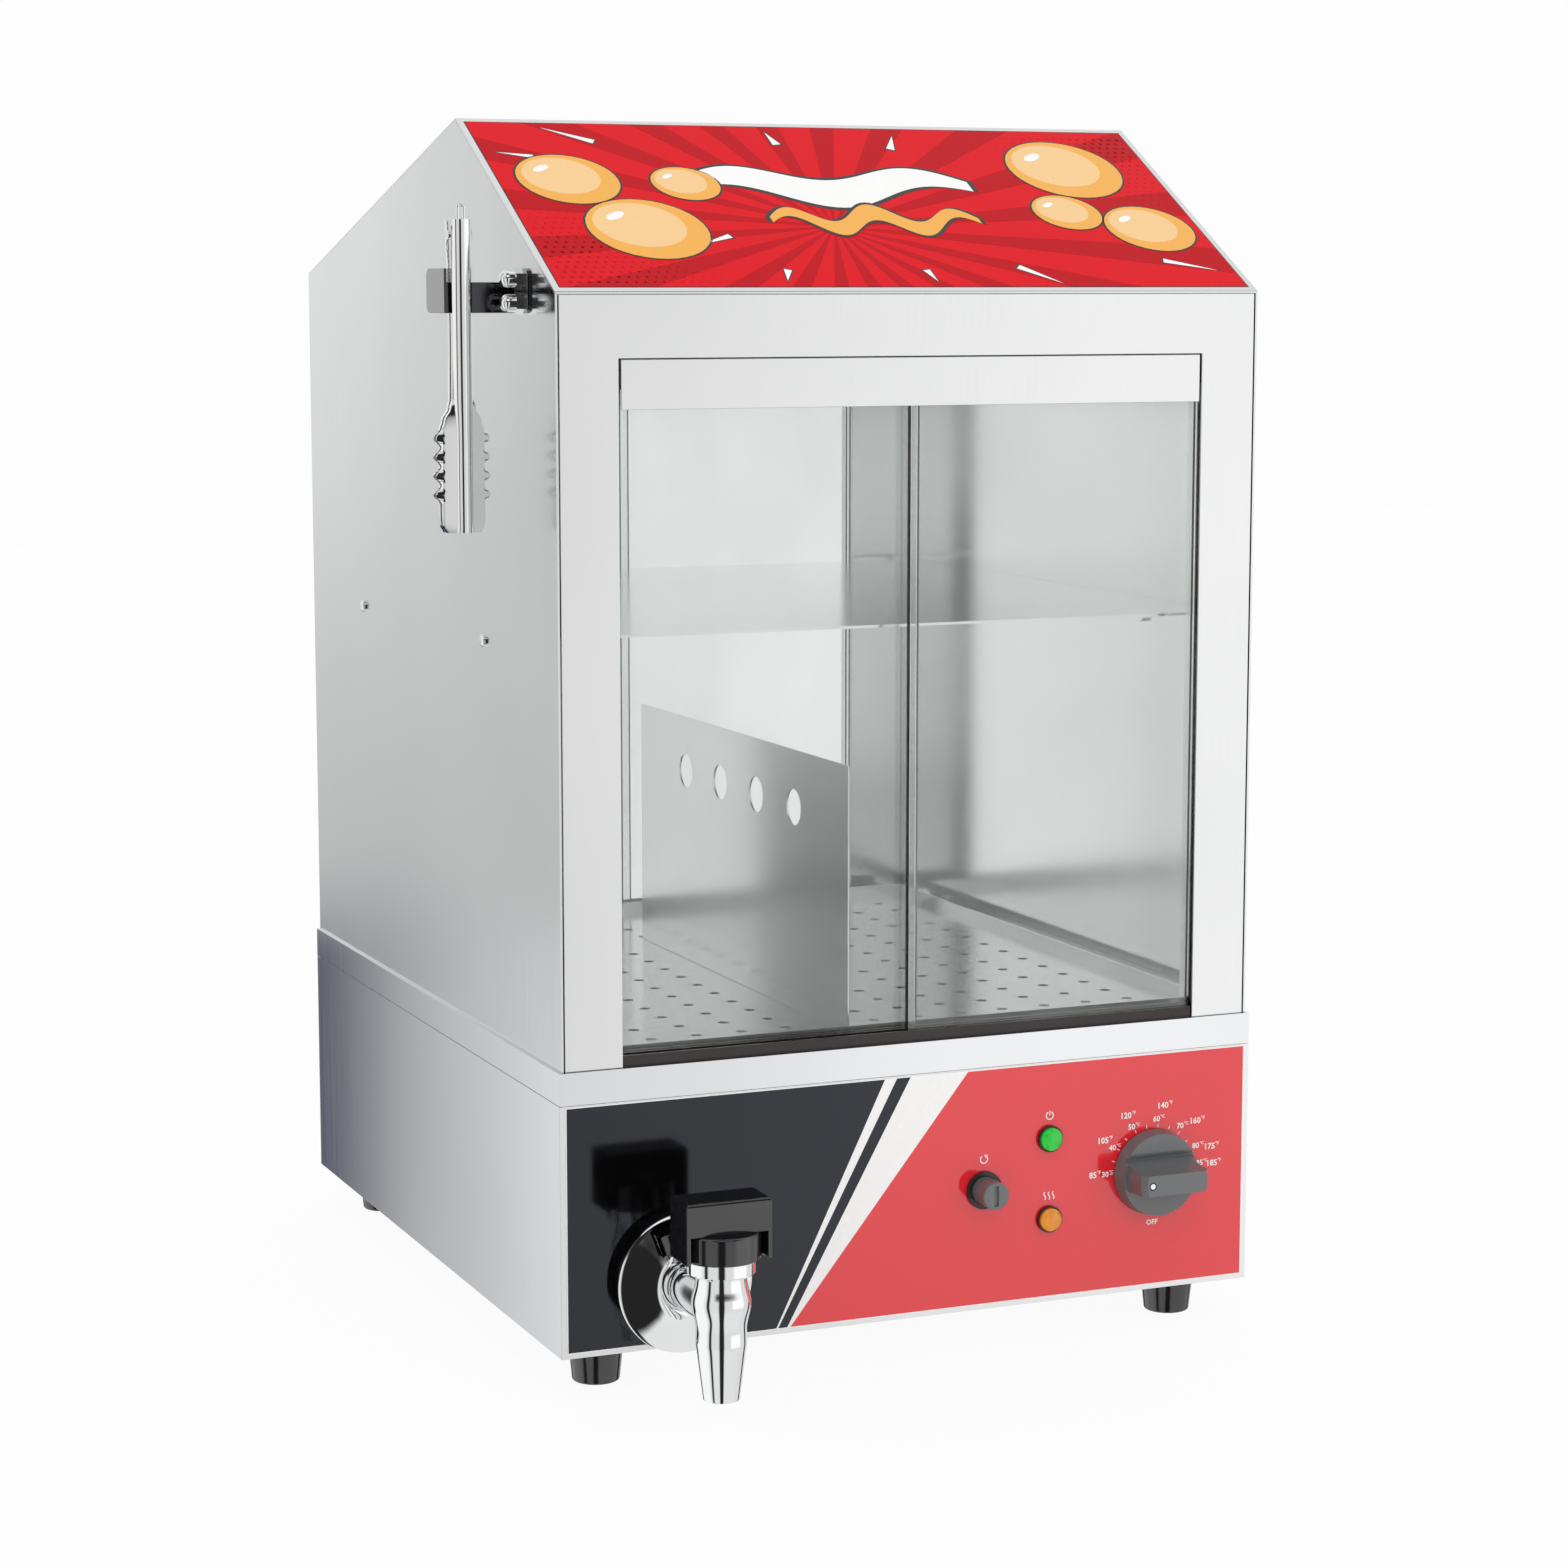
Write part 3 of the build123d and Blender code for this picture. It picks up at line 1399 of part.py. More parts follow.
with BuildPart() as tongs_front_arm:
    arm_channel(front_arm_face, 1, tongs_head)
    hinge_ears(front_arm_face, ear_outer)
    block(
        (tongs_x - rest_tab_width / 2, tongs_x + rest_tab_width / 2),
        (front_arm_face, front_arm_face + rest_tab_reach),
        (bracket_top, bracket_top + arm_sheet),
    )

tongs_front_arm.part.label = "tongs_front_arm"
export_step(tongs_front_arm.part, "parts/tongs_front_arm.step")

with BuildPart() as tongs_rear_arm:
    arm_channel(rear_arm_face, -1, arm_shoulder)
    hinge_ears(rear_arm_face, ear_inner)

tongs_rear_arm.part.label = "tongs_rear_arm"
export_step(tongs_rear_arm.part, "parts/tongs_rear_arm.step")

pin_head_radius = 2.4
pin_head_height = 0.8

with BuildPart() as tongs_pin:
    pin_axis = (plate_middle, tongs_pin_z)
    rod("x", pin_axis, (tongs_x - arm_width / 2, tongs_x + arm_width / 2), tongs_pin_radius)
    for side in (-1, 1):
        pin_end = tongs_x + side * arm_width / 2
        rod("x", pin_axis, (pin_end, pin_end + side * pin_head_height), pin_head_radius)

tongs_pin.part.label = "tongs_pin"
export_step(tongs_pin.part, "parts/tongs_pin.step")

coil_wire = 0.4
coil_radius = tongs_pin_radius + running + coil_wire
coil_turns = 4
coil_length = 2 * (ear_inner - arm_sheet) - 2 * coil_wire - 2 * free

with BuildPart() as tongs_spring:
    with BuildLine() as coil_path:
        Helix(
            coil_length / coil_turns,
            coil_length,
            coil_radius,
            center=(tongs_x - coil_length / 2, plate_middle, tongs_pin_z),
            direction=(1, 0, 0),
        )
    with BuildSketch(Plane(coil_path.line @ 0, z_dir=coil_path.line % 0)):
        Circle(coil_wire)
    sweep(is_frenet=True)

tongs_spring.part.label = "tongs_spring"
export_step(tongs_spring.part, "parts/tongs_spring.step")

ring_wire = 0.8
ring_width = 5.0
ring_half_width = ring_width / 2 - ring_wire
ring_y = plate_middle - coil_radius - coil_wire - free - ring_wire
ring_top = tongs_head + ring_height - ring_wire
ring_leg = 24.0

with BuildPart() as tongs_ring:
    with BuildLine() as ring_path:
        Line(
            (tongs_x - ring_half_width, ring_y, ring_top - ring_leg),
            (tongs_x - ring_half_width, ring_y, ring_top - ring_half_width),
        )
        ThreePointArc(
            (tongs_x - ring_half_width, ring_y, ring_top - ring_half_width),
            (tongs_x, ring_y, ring_top),
            (tongs_x + ring_half_width, ring_y, ring_top - ring_half_width),
        )
        Line(
            (tongs_x + ring_half_width, ring_y, ring_top - ring_half_width),
            (tongs_x + ring_half_width, ring_y, ring_top - ring_leg),
        )
    with BuildSketch(Plane((tongs_x - ring_half_width, ring_y, ring_top - ring_leg), z_dir=(0, 0, 1))):
        Circle(ring_wire)
    sweep()

tongs_ring.part.label = "tongs_ring"
export_step(tongs_ring.part, "parts/tongs_ring.step")
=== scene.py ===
"""Dresses the countertop hot dog steamer: sheet metal, glass, controls, drain tap and tongs."""
from __future__ import annotations

import json
import logging
import math
from dataclasses import dataclass, field
from enum import Enum
from typing import Iterable, Sequence

import bmesh
import bpy
from mathutils import Matrix, Vector

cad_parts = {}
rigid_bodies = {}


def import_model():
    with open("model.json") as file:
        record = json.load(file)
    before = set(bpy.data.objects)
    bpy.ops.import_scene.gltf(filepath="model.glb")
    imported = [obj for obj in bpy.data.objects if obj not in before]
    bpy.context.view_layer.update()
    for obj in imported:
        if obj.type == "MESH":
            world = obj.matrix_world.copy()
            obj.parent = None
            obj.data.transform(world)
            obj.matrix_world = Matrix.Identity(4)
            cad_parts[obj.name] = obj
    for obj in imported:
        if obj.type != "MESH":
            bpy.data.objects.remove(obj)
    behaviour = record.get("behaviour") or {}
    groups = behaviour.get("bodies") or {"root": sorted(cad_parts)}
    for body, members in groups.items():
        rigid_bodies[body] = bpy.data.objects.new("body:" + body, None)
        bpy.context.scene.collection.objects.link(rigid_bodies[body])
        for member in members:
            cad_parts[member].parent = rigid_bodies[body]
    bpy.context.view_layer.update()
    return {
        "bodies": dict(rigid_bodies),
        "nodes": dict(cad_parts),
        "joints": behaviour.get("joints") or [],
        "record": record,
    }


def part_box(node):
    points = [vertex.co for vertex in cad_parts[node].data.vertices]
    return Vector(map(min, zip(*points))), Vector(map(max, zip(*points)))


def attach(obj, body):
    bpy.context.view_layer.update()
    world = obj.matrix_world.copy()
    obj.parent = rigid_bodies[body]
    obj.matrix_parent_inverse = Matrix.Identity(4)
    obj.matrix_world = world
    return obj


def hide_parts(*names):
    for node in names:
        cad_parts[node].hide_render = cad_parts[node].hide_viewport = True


LOG = logging.getLogger("steamer")

MM = 0.001
FULL_TURN = 2.0 * math.pi
HOUSING_BODY = "steamer"
BEND_ANGLE = 40.0
PLASTIC_GRAIN = 1800.0
FINE_GRAIN = 0.000004

Point = tuple[float, float]
Colour = tuple[float, float, float]
Socket = bpy.types.NodeSocket


class Grain(Enum):
    """Which way the brushing on a sheet runs: its fineness on each axis."""

    UPRIGHT = (1.0, 1.0, 0.012)
    ACROSS = (0.012, 1.0, 1.0)
    FRONT_TO_BACK = (1.0, 0.012, 1.0)


# ---------------------------------------------------------------------------------- finishes


def grey(level: float) -> tuple[float, float, float, float]:
    """An even colour of one level, with full alpha."""
    return level, level, level, 1.0


def deepened(colour: Colour, share: float) -> Colour:
    """A darker colour.

    Args:
        colour: The colour.
        share: What is left of it.

    Returns:
        The darker one.
    """
    return tuple(channel * share for channel in colour)


class NodeSheet:
    """A node tree with short ways to add, feed and mix nodes."""

    def __init__(self, tree: bpy.types.NodeTree) -> None:
        """Works on a tree.

        Args:
            tree: The nodes of a material or a world.
        """
        self.tree = tree

    def feed(self, target: bpy.types.Node, inputs: dict[str | int, object]) -> None:
        """Links or sets a node's inputs.

        Args:
            target: The node.
            inputs: A socket to link or a constant, by the input's name or number.
        """
        for key, value in inputs.items():
            if isinstance(value, Socket):
                self.tree.links.new(value, target.inputs[key])
            else:
                target.inputs[key].default_value = value

    def node(self, kind: str, inputs: dict[str | int, object], **settings: object) -> bpy.types.Node:
        """Adds a node.

        Args:
            kind: Its type, without Blender's "ShaderNode".
            inputs: What goes into it, as in feed.
            settings: Plain properties to set on it.

        Returns:
            The new node.
        """
        made = self.tree.nodes.new(f"ShaderNode{kind}")
        for key, value in settings.items():
            setattr(made, key, value)
        self.feed(made, inputs)
        return made

    def math(self, operation: str, *values: object) -> Socket:
        """Result of a mathematical operation.

        Args:
            operation: Blender's name for it.
            values: Sockets or numbers that it works on.

        Returns:
            The result.
        """
        return self.node("Math", dict(enumerate(values)), operation=operation).outputs["Value"]

    def blend(self, share: Socket, first: object, second: object) -> Socket:
        """Mixes two colours.

        Args:
            share: 0 for the first, 1 for the second.
            first: A colour with alpha, or a socket.
            second: The other one.

        Returns:
            The mixed colour.
        """
        inputs = {"Factor": share, "A": first, "B": second}
        return self.node("Mix", inputs, data_type="RGBA").outputs["Result"]

    def layered(self, share: Socket, first: Socket, second: Socket) -> Socket:
        """Mixes two shaders.

        Args:
            share: 0 for the first, 1 for the second.
            first: A shader.
            second: The other one.

        Returns:
            The mixed shader.
        """
        return self.node("MixShader", {"Fac": share, 1: first, 2: second}).outputs["Shader"]


class ShaderSheet(NodeSheet):
    """A material's nodes, with a Principled shader on the output."""

    def __init__(self, name: str, **constants: object) -> None:
        """Starts a material.

        Args:
            name: The material's name.
            constants: Constants of the Principled shader, as in surface.
        """
        self.material = bpy.data.materials.new(name)
        self.material.use_nodes = True
        super().__init__(self.material.node_tree)
        self.shader = self.tree.nodes["Principled BSDF"]
        self.surface(**constants)

    def surface(self, **values: object) -> None:
        """Feeds the Principled shader.

        Args:
            values: A socket or a constant for each input, named with underscores for spaces.
        """
        self.feed(self.shader, {key.replace("_", " "): value for key, value in values.items()})

    def show(self, shader: Socket) -> None:
        """Puts another shader on the material's output."""
        self.feed(self.tree.nodes["Material Output"], {"Surface": shader})

    def noise(self, scale: Sequence[float], detail: float, roughness: float = 0.5) -> Socket:
        """Noise on Object coordinates.

        Args:
            scale: Pattern repeats for each metre on the three axes.
            detail: Octaves of the noise.
            roughness: Share of the finer octaves.

        Returns:
            The noise's factor.
        """
        where = self.node("TexCoord", {}).outputs["Object"]
        mapped = self.node("Mapping", {"Vector": where, "Scale": scale}).outputs["Vector"]
        return self.node("TexNoise", {"Vector": mapped, "Scale": 1.0, "Detail": detail,
                                      "Roughness": roughness}).outputs["Fac"]

    def spread(self, source: Socket, low: float, high: float) -> Socket:
        """Maps the middle of a noise to a range.

        Args:
            source: The noise's factor.
            low: Value at its low end.
            high: Value at its high end.

        Returns:
            The mapped value.
        """
        return self.node("MapRange", {"Value": source, "From Min": 0.3, "From Max": 0.7,
                                      "To Min": low, "To Max": high}).outputs["Result"]

    def shades(self, source: Socket, dark: Colour, light: Colour) -> Socket:
        """Mixes two plain colours by a factor.

        Args:
            source: The factor.
            dark: Colour at 0.
            light: Colour at 1.

        Returns:
            The mixed colour.
        """
        return self.blend(source, (*dark, 1.0), (*light, 1.0))

    def relief(self, source: Socket, strength: float, height: float) -> None:
        """Bumps the surface by a factor.

        Args:
            source: Height between 0 and 1.
            strength: Bump strength.
            height: Height of the relief in metres.
        """
        bump = self.node("Bump", {"Height": source, "Strength": strength, "Distance": height})
        self.surface(Normal=bump.outputs["Normal"])


@dataclass(frozen=True)
class BrushedSteel:
    """Stainless sheet with fine brushing and a faint cloudiness."""

    name: str
    grain: Grain
    dark: Colour = (0.70, 0.712, 0.715)
    light: Colour = (0.75, 0.76, 0.76)
    smooth: float = 0.13
    rough: float = 0.18
    scratches: float = 1400.0
    relief: float = 0.03

    def build(self) -> bpy.types.Material:
        """Makes the material.

        Returns:
            The new material.
        """
        sheet = ShaderSheet(self.name, Metallic=1.0)
        brush = sheet.noise([self.scratches * share for share in self.grain.value], 3.0, 0.6)
        cloud = sheet.spread(sheet.noise((5.0, 5.0, 5.0), 2.0), 0.0, 1.0)
        sheet.surface(Roughness=sheet.spread(brush, self.smooth, self.rough),
                      Base_Color=sheet.shades(cloud, self.dark, self.light))
        sheet.relief(brush, self.relief, 0.00002)
        return sheet.material


@dataclass(frozen=True)
class Film:
    """Glossy printed film or ink, whose colour and roughness drift a little.

    Patches and octaves shape the drift, and deep is what it leaves of the colour where it is darkest.
    """

    name: str
    colour: Colour
    smooth: float
    rough: float
    shine: float = 0.5
    gleam: Colour = (1.0, 1.0, 1.0)
    metallic: float = 0.0
    patches: float = 90.0
    octaves: float = 3.0
    deep: float = 0.96
    grain_height: float = 0.0

    def build(self) -> bpy.types.Material:
        """Makes the material.

        Returns:
            The new material.
        """
        sheet = ShaderSheet(self.name, Metallic=self.metallic, Specular_IOR_Level=self.shine,
                            Specular_Tint=(*self.gleam, 1.0))
        drift = sheet.noise([self.patches] * 3, self.octaves)
        sheet.surface(Roughness=sheet.spread(drift, self.smooth, self.rough),
                      Base_Color=sheet.shades(drift, deepened(self.colour, self.deep), self.colour))
        if self.grain_height:
            sheet.relief(sheet.noise([PLASTIC_GRAIN] * 3, 2.0), 0.12, self.grain_height)
        return sheet.material


@dataclass(frozen=True)
class Plating(Film):
    """Bright chrome, polished steel or zinc."""

    metallic: float = 1.0
    patches: float = 60.0
    deep: float = 0.93


@dataclass(frozen=True)
class Moulding(Film):
    """Moulded plastic or rubber with a fine spark-eroded grain."""

    patches: float = 35.0
    octaves: float = 4.0
    deep: float = 0.88
    grain_height: float = 0.00003


@dataclass(frozen=True)
class DoorGlass:
    """Clear toughened glass with a faint breath of steam on it."""

    name: str
    tint: Colour = (0.93, 0.95, 0.94)
    steam: Colour = (0.80, 0.82, 0.81)
    haze_low: float = 0.02
    haze_high: float = 0.10

    def build(self) -> bpy.types.Material:
        """Makes the material.

        Returns:
            The new material.
        """
        sheet = ShaderSheet(self.name, Base_Color=(*self.tint, 1.0), Transmission_Weight=1.0,
                            Roughness=0.0, IOR=1.45)
        haze = sheet.node("BsdfDiffuse", {"Color": (*self.steam, 1.0)}).outputs["BSDF"]
        breath = sheet.spread(sheet.noise((9.0, 9.0, 6.0), 4.0), self.haze_low, self.haze_high)
        sheet.show(sheet.layered(breath, sheet.shader.outputs["BSDF"], haze))
        return sheet.material


@dataclass(frozen=True)
class LampLens:
    """Coloured lens of a pilot lamp, a little translucent and lit from behind."""

    name: str
    colour: Colour
    glow: float

    def build(self) -> bpy.types.Material:
        """Makes the material.

        Returns:
            The new material.
        """
        sheet = ShaderSheet(self.name, Transmission_Weight=0.25, Roughness=0.16, IOR=1.49,
                            Coat_Weight=0.6, Emission_Color=(*self.colour, 1.0),
                            Emission_Strength=self.glow)
        ribs = sheet.noise((260.0, 260.0, 90.0), 1.0)
        sheet.surface(Base_Color=sheet.shades(ribs, deepened(self.colour, 0.45), self.colour))
        return sheet.material


class Finish(Enum):
    """Every finish on the steamer."""

    SHEET_STEEL = BrushedSteel("sheet steel", Grain.UPRIGHT)
    FRONT_STEEL = BrushedSteel("front steel", Grain.UPRIGHT, (0.75, 0.757, 0.755), (0.79, 0.795, 0.79),
                               0.17, 0.22)
    ROOF_STEEL = BrushedSteel("roof steel", Grain.FRONT_TO_BACK)
    # painted light: a lighter copy of the sheet steel that stands in for the bright light inside the cabinet,
    # on the side panels' inward faces and on the bun shelf
    INNER_STEEL = BrushedSteel("inner steel with painted light", Grain.FRONT_TO_BACK, (0.84, 0.845, 0.85), (0.90, 0.90, 0.90),
                               0.14, 0.20)
    TRAY_STEEL = BrushedSteel("tray steel", Grain.ACROSS, (0.56, 0.565, 0.57), (0.66, 0.665, 0.67),
                              0.12, 0.20)
    BASE_STEEL = BrushedSteel("base paint", Grain.UPRIGHT, (0.71, 0.72, 0.735), (0.76, 0.77, 0.78),
                              0.07, 0.10, 600.0, 0.01)
    CHROME = Plating("bright chrome", (0.90, 0.905, 0.91), 0.01, 0.03)
    POLISHED = Plating("polished steel", (0.83, 0.835, 0.83), 0.05, 0.10)
    BRACKET_STEEL = Plating("bracket steel", (0.36, 0.36, 0.36), 0.2, 0.3)
    # painted reflection: a near-black plating on the stainless bracket's front faces that paints the dark
    # reflection seen there
    DARK_STEEL = Plating("bracket face with painted dark reflection", (0.07, 0.07, 0.078), 0.08, 0.14)
    ZINC = Plating("zinc plate", (0.62, 0.63, 0.65), 0.24, 0.38)
    ELEMENT = Plating("element tube", (0.44, 0.42, 0.39), 0.32, 0.45)
    BLACK_PLASTIC = Moulding("black plastic", (0.010, 0.010, 0.012), 0.06, 0.12, 1.0,
                             grain_height=FINE_GRAIN)
    KNOB_PLASTIC = Moulding("knob plastic", (0.135, 0.140, 0.144), 0.30, 0.40, 0.8, grain_height=0.00001)
    DARK_PLASTIC = Moulding("bezel plastic", (0.022, 0.020, 0.020), 0.2, 0.3)
    GREY_PLASTIC = Moulding("inner plastic", (0.10, 0.10, 0.105), 0.32, 0.42)
    RUBBER = Moulding("foot rubber", (0.010, 0.010, 0.012), 0.08, 0.14, 1.0, grain_height=FINE_GRAIN)
    TRACK = Moulding("door track", (0.020, 0.014, 0.012), 0.18, 0.28)
    HOSE = Moulding("silicone hose", (0.62, 0.60, 0.57), 0.3, 0.4)
    RED_FILM = Film("red film", (0.74, 0.012, 0.022), 0.09, 0.12, 0.95)
    ROOF_FILM = Film("roof film", (0.70, 0.008, 0.016), 0.16, 0.22, 0.03)
    BLACK_FILM = Film("black film", (0.0018, 0.0018, 0.0020), 0.08, 0.11, 0.62, (0.84, 0.87, 1.0))
    BLACK_INK = Film("black ink", (0.010, 0.008, 0.009), 0.2, 0.3, 0.3)
    WHITE_INK = Film("white ink", (0.90, 0.90, 0.89), 0.2, 0.3)
    MUSTARD_INK = Film("mustard ink", (0.86, 0.40, 0.035), 0.2, 0.3, 0.4)
    CREAM_INK = Film("cream ink", (0.88, 0.56, 0.24), 0.2, 0.3, 0.4)
    DARK_RED_INK = Film("dark red ink", (0.50, 0.006, 0.012), 0.18, 0.24, 0.03)
    GLASS = DoorGlass("door glass")
    GLASS_EDGE = Film("glass edge", (0.020, 0.013, 0.010), 0.12, 0.2, 0.6)
    GREEN_LENS = LampLens("green lens", (0.003, 0.50, 0.030), 0.45)
    AMBER_LENS = LampLens("amber lens", (0.80, 0.30, 0.010), 0.28)

    def material(self) -> bpy.types.Material:
        """The finish's material, made the first time that it is asked for."""
        return bpy.data.materials.get(self.value.name) or self.value.build()


# ---------------------------------------------------------------------------------- mesh work


def to_front(x: float, y: float, z: float) -> Matrix:
    """Frame with +X to the right, +Y up and +Z out of the front.

    Args:
        x: Its place across, in metres.
        y: Its place from the front to the back.
        z: Its height.

    Returns:
        The frame.
    """
    return Matrix.Translation((x, y, z)) @ Matrix.Rotation(math.radians(90.0), 4, "X")


def middle(node: str) -> Vector:
    """Centre of a CAD node's box."""
    low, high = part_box(node)
    return (low + high) / 2


def in_metres(points: Iterable[Point]) -> list[Point]:
    """Points given in millimetres."""
    return [(first * MM, second * MM) for first, second in points]


def polar(at: Point, reach: float, angle: float) -> Point:
    """The point in a direction from another.

    Args:
        at: The other point.
        reach: Distance from it.
        angle: Direction in radians.

    Returns:
        The point.
    """
    return at[0] + reach * math.cos(angle), at[1] + reach * math.sin(angle)


def quad(foot: Point, top: Point, levels: Point) -> list[Point]:
    """Outline with a level foot and a level top.

    Args:
        foot: Where its foot starts and ends.
        top: Where its top starts and ends.
        levels: Heights of its foot and its top.

    Returns:
        Its four corners.
    """
    return [(foot[0], levels[0]), (foot[1], levels[0]), (top[1], levels[1]), (top[0], levels[1])]


def oval(at: Point, radius: float, squash: float = 1.0, aim: float = 0.0, steps: int = 36) -> list[Point]:
    """Outline of an ellipse.

    Args:
        at: Its middle.
        radius: Half its length.
        squash: Its width as a share of its length.
        aim: Direction of its length, in degrees.
        steps: Number of corners.

    Returns:
        The corners.
    """
    turn = math.radians(aim)
    outline: list[Point] = []
    for step in range(steps):
        x, y = polar((0.0, 0.0), radius, FULL_TURN * step / steps)
        outline.append((at[0] + x * math.cos(turn) - y * squash * math.sin(turn),
                        at[1] + x * math.sin(turn) + y * squash * math.cos(turn)))
    return outline


@dataclass
class Shape:
    """A mesh being made, and the turning, extruding and softening that shape it."""

    finishes: tuple[Finish, ...] = ()
    mesh: bmesh.types.BMesh = field(default_factory=bmesh.new)

    def newest(self, before: set[bmesh.types.BMFace]) -> tuple[list, list]:
        """What was added since a moment.

        Args:
            before: The faces of that moment.

        Returns:
            The new faces, and their vertices.
        """
        faces = [face for face in self.mesh.faces if face not in before]
        return faces, list({vert for face in faces for vert in face.verts})

    def settle(self, before: set[bmesh.types.BMFace], place: Matrix, finish: Finish | None) -> Shape:
        """Gives what was added since a moment its finish, its normals and its place.

        Args:
            before: The faces of that moment.
            place: Where its own frame goes.
            finish: One of the shape's finishes; the first one if none is named.

        Returns:
            This shape.
        """
        faces, verts = self.newest(before)
        index = self.finishes.index(finish) if finish else 0
        for face in faces:
            face.material_index = index
        bmesh.ops.recalc_face_normals(self.mesh, faces=faces)
        bmesh.ops.transform(self.mesh, matrix=place, verts=verts)
        return self

    def turned(self, profile: Sequence[Point], place: Matrix, steps: int = 96,
               finish: Finish | None = None) -> Shape:
        """Adds a round piece spun from a profile.

        Args:
            profile: Radius and height of each ring in metres, from one end to the other.
            place: Where the piece's own +Z axis goes.
            steps: Faces round the piece.
            finish: Its finish.

        Returns:
            This shape.
        """
        rings = [self.mesh.verts.new((radius, 0.0, height)) for radius, height in profile]
        sides = [self.mesh.edges.new(pair) for pair in zip(rings, rings[1:])]
        before = set(self.mesh.faces)
        bmesh.ops.spin(self.mesh, geom=rings + sides, cent=(0, 0, 0), axis=(0, 0, 1), dvec=(0, 0, 0),
                       angle=FULL_TURN, steps=steps, use_merge=True, use_duplicate=False)
        bmesh.ops.remove_doubles(self.mesh, verts=self.newest(before)[1], dist=1e-7)
        return self.settle(before, place, finish)

    def cut_out(self, outline: Sequence[Point], place: Matrix, thickness: float,
                finish: Finish | None = None) -> Shape:
        """Adds a flat plate with the given outline, extruded along its own +Z.

        Args:
            outline: Corners of the plate in metres.
            place: Where the plate's own frame goes.
            thickness: Thickness in metres.
            finish: Its finish.

        Returns:
            This shape.
        """
        before = set(self.mesh.faces)
        face = self.mesh.faces.new([self.mesh.verts.new((x, y, 0.0)) for x, y in outline])
        grown = bmesh.ops.extrude_face_region(self.mesh, geom=[face], use_keep_orig=True)["geom"]
        lifted = [item for item in grown if isinstance(item, bmesh.types.BMVert)]
        bmesh.ops.translate(self.mesh, vec=(0, 0, thickness), verts=lifted)
        return self.settle(before, place, finish)

    def lofted(self, rings: Sequence[Sequence[Sequence[float]]]) -> Shape:
        """Adds a closed skin through rings of points, with a flat cap at either end.

        Args:
            rings: Rings with as many points each, in metres.

        Returns:
            This shape.
        """
        rows = [[self.mesh.verts.new(point) for point in ring] for ring in rings]
        following = [*range(1, len(rows[0])), 0]
        faces = [self.mesh.faces.new((near[here], near[there], far[there], far[here]))
                 for near, far in zip(rows, rows[1:]) for here, there in enumerate(following)]
        faces += [self.mesh.faces.new(rows[0][::-1]), self.mesh.faces.new(rows[-1])]
        bmesh.ops.recalc_face_normals(self.mesh, faces=faces)
        return self

    def join_flats(self, angle: float) -> None:
        """Joins doubled vertices, and faces that lie in one plane.

        Args:
            angle: Largest angle between such faces, in degrees.
        """
        bmesh.ops.remove_doubles(self.mesh, verts=self.mesh.verts, dist=1e-6)
        bmesh.ops.dissolve_limit(self.mesh, angle_limit=math.radians(angle), verts=self.mesh.verts,
                                 edges=self.mesh.edges, use_dissolve_boundaries=False,
                                 delimit={"NORMAL"})

    def soften(self, radius: float, sharp: float, segments: int = 2) -> None:
        """Rounds every edge sharper than an angle.

        Args:
            radius: Width of the round in metres.
            sharp: Smallest face angle, in degrees, that is rounded.
            segments: Faces round each edge.
        """
        edges = [edge for edge in self.mesh.edges
                 if edge.is_manifold and edge.calc_face_angle(0.0) > math.radians(sharp)]
        bmesh.ops.bevel(self.mesh, geom=edges, offset=radius, offset_type="OFFSET", segments=segments,
                        profile=0.5, affect="EDGES", clamp_overlap=True, material=-1)

    def piece(self, name: str, body: str, slot: str, *nodes: str, sharp: float = 32.0) -> None:
        """Turns the shape into a piece that rides on a body.

        Args:
            name: The piece's name.
            body: The body that it moves with.
            slot: The record's material slot; not used.
            nodes: CAD nodes that it stands for.
            sharp: Angle, in degrees, past which an edge shades sharp.
        """
        data = bpy.data.meshes.new(name)
        self.mesh.to_mesh(data)
        self.mesh.free()
        for finish in self.finishes:
            data.materials.append(finish.material())
        data.polygons.foreach_set("use_smooth", [True] * len(data.polygons))
        data.set_sharp_from_angle(angle=math.radians(sharp))
        made = bpy.data.objects.new(name, data)
        bpy.context.scene.collection.objects.link(made)
        made.modifiers.new("flat faces", "WEIGHTED_NORMAL").keep_sharp = True
        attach(made, body)
        if nodes:
            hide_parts(*nodes)
        LOG.info("%s: %d faces", name, len(data.polygons))


def overlap(first: Shape, second: Shape) -> Shape:
    """The space that two closed shapes share.

    Args:
        first: One shape; it is used up.
        second: The other shape; it is used up.

    Returns:
        The shared shape, with the first one's finishes.
    """
    holders = []
    for shape in (first, second):
        data = bpy.data.meshes.new("overlap")
        shape.mesh.to_mesh(data)
        shape.mesh.free()
        holders.append(bpy.data.objects.new("overlap", data))
        bpy.context.scene.collection.objects.link(holders[-1])
    cutter = holders[0].modifiers.new("overlap", "BOOLEAN")
    cutter.operation = "INTERSECT"
    cutter.solver = "EXACT"
    cutter.object = holders[1]
    bpy.context.view_layer.update()
    shared = holders[0].evaluated_get(bpy.context.evaluated_depsgraph_get())
    made = Shape(first.finishes)
    made.mesh.from_mesh(bpy.data.meshes.new_from_object(shared))
    for holder in holders:
        bpy.data.objects.remove(holder)
    made.join_flats(0.8)
    return made


def dress(finish: Finish, *nodes: str) -> None:
    """Gives CAD nodes a finish.

    Args:
        finish: The finish.
        nodes: CAD nodes that keep their own shape.
    """
    for node in nodes:
        data = FRAME["nodes"][node].data
        data.materials.clear()
        data.materials.append(finish.material())


FRAME: dict = {}


# ---------------------------------------------------------------------------------- sub-assemblies


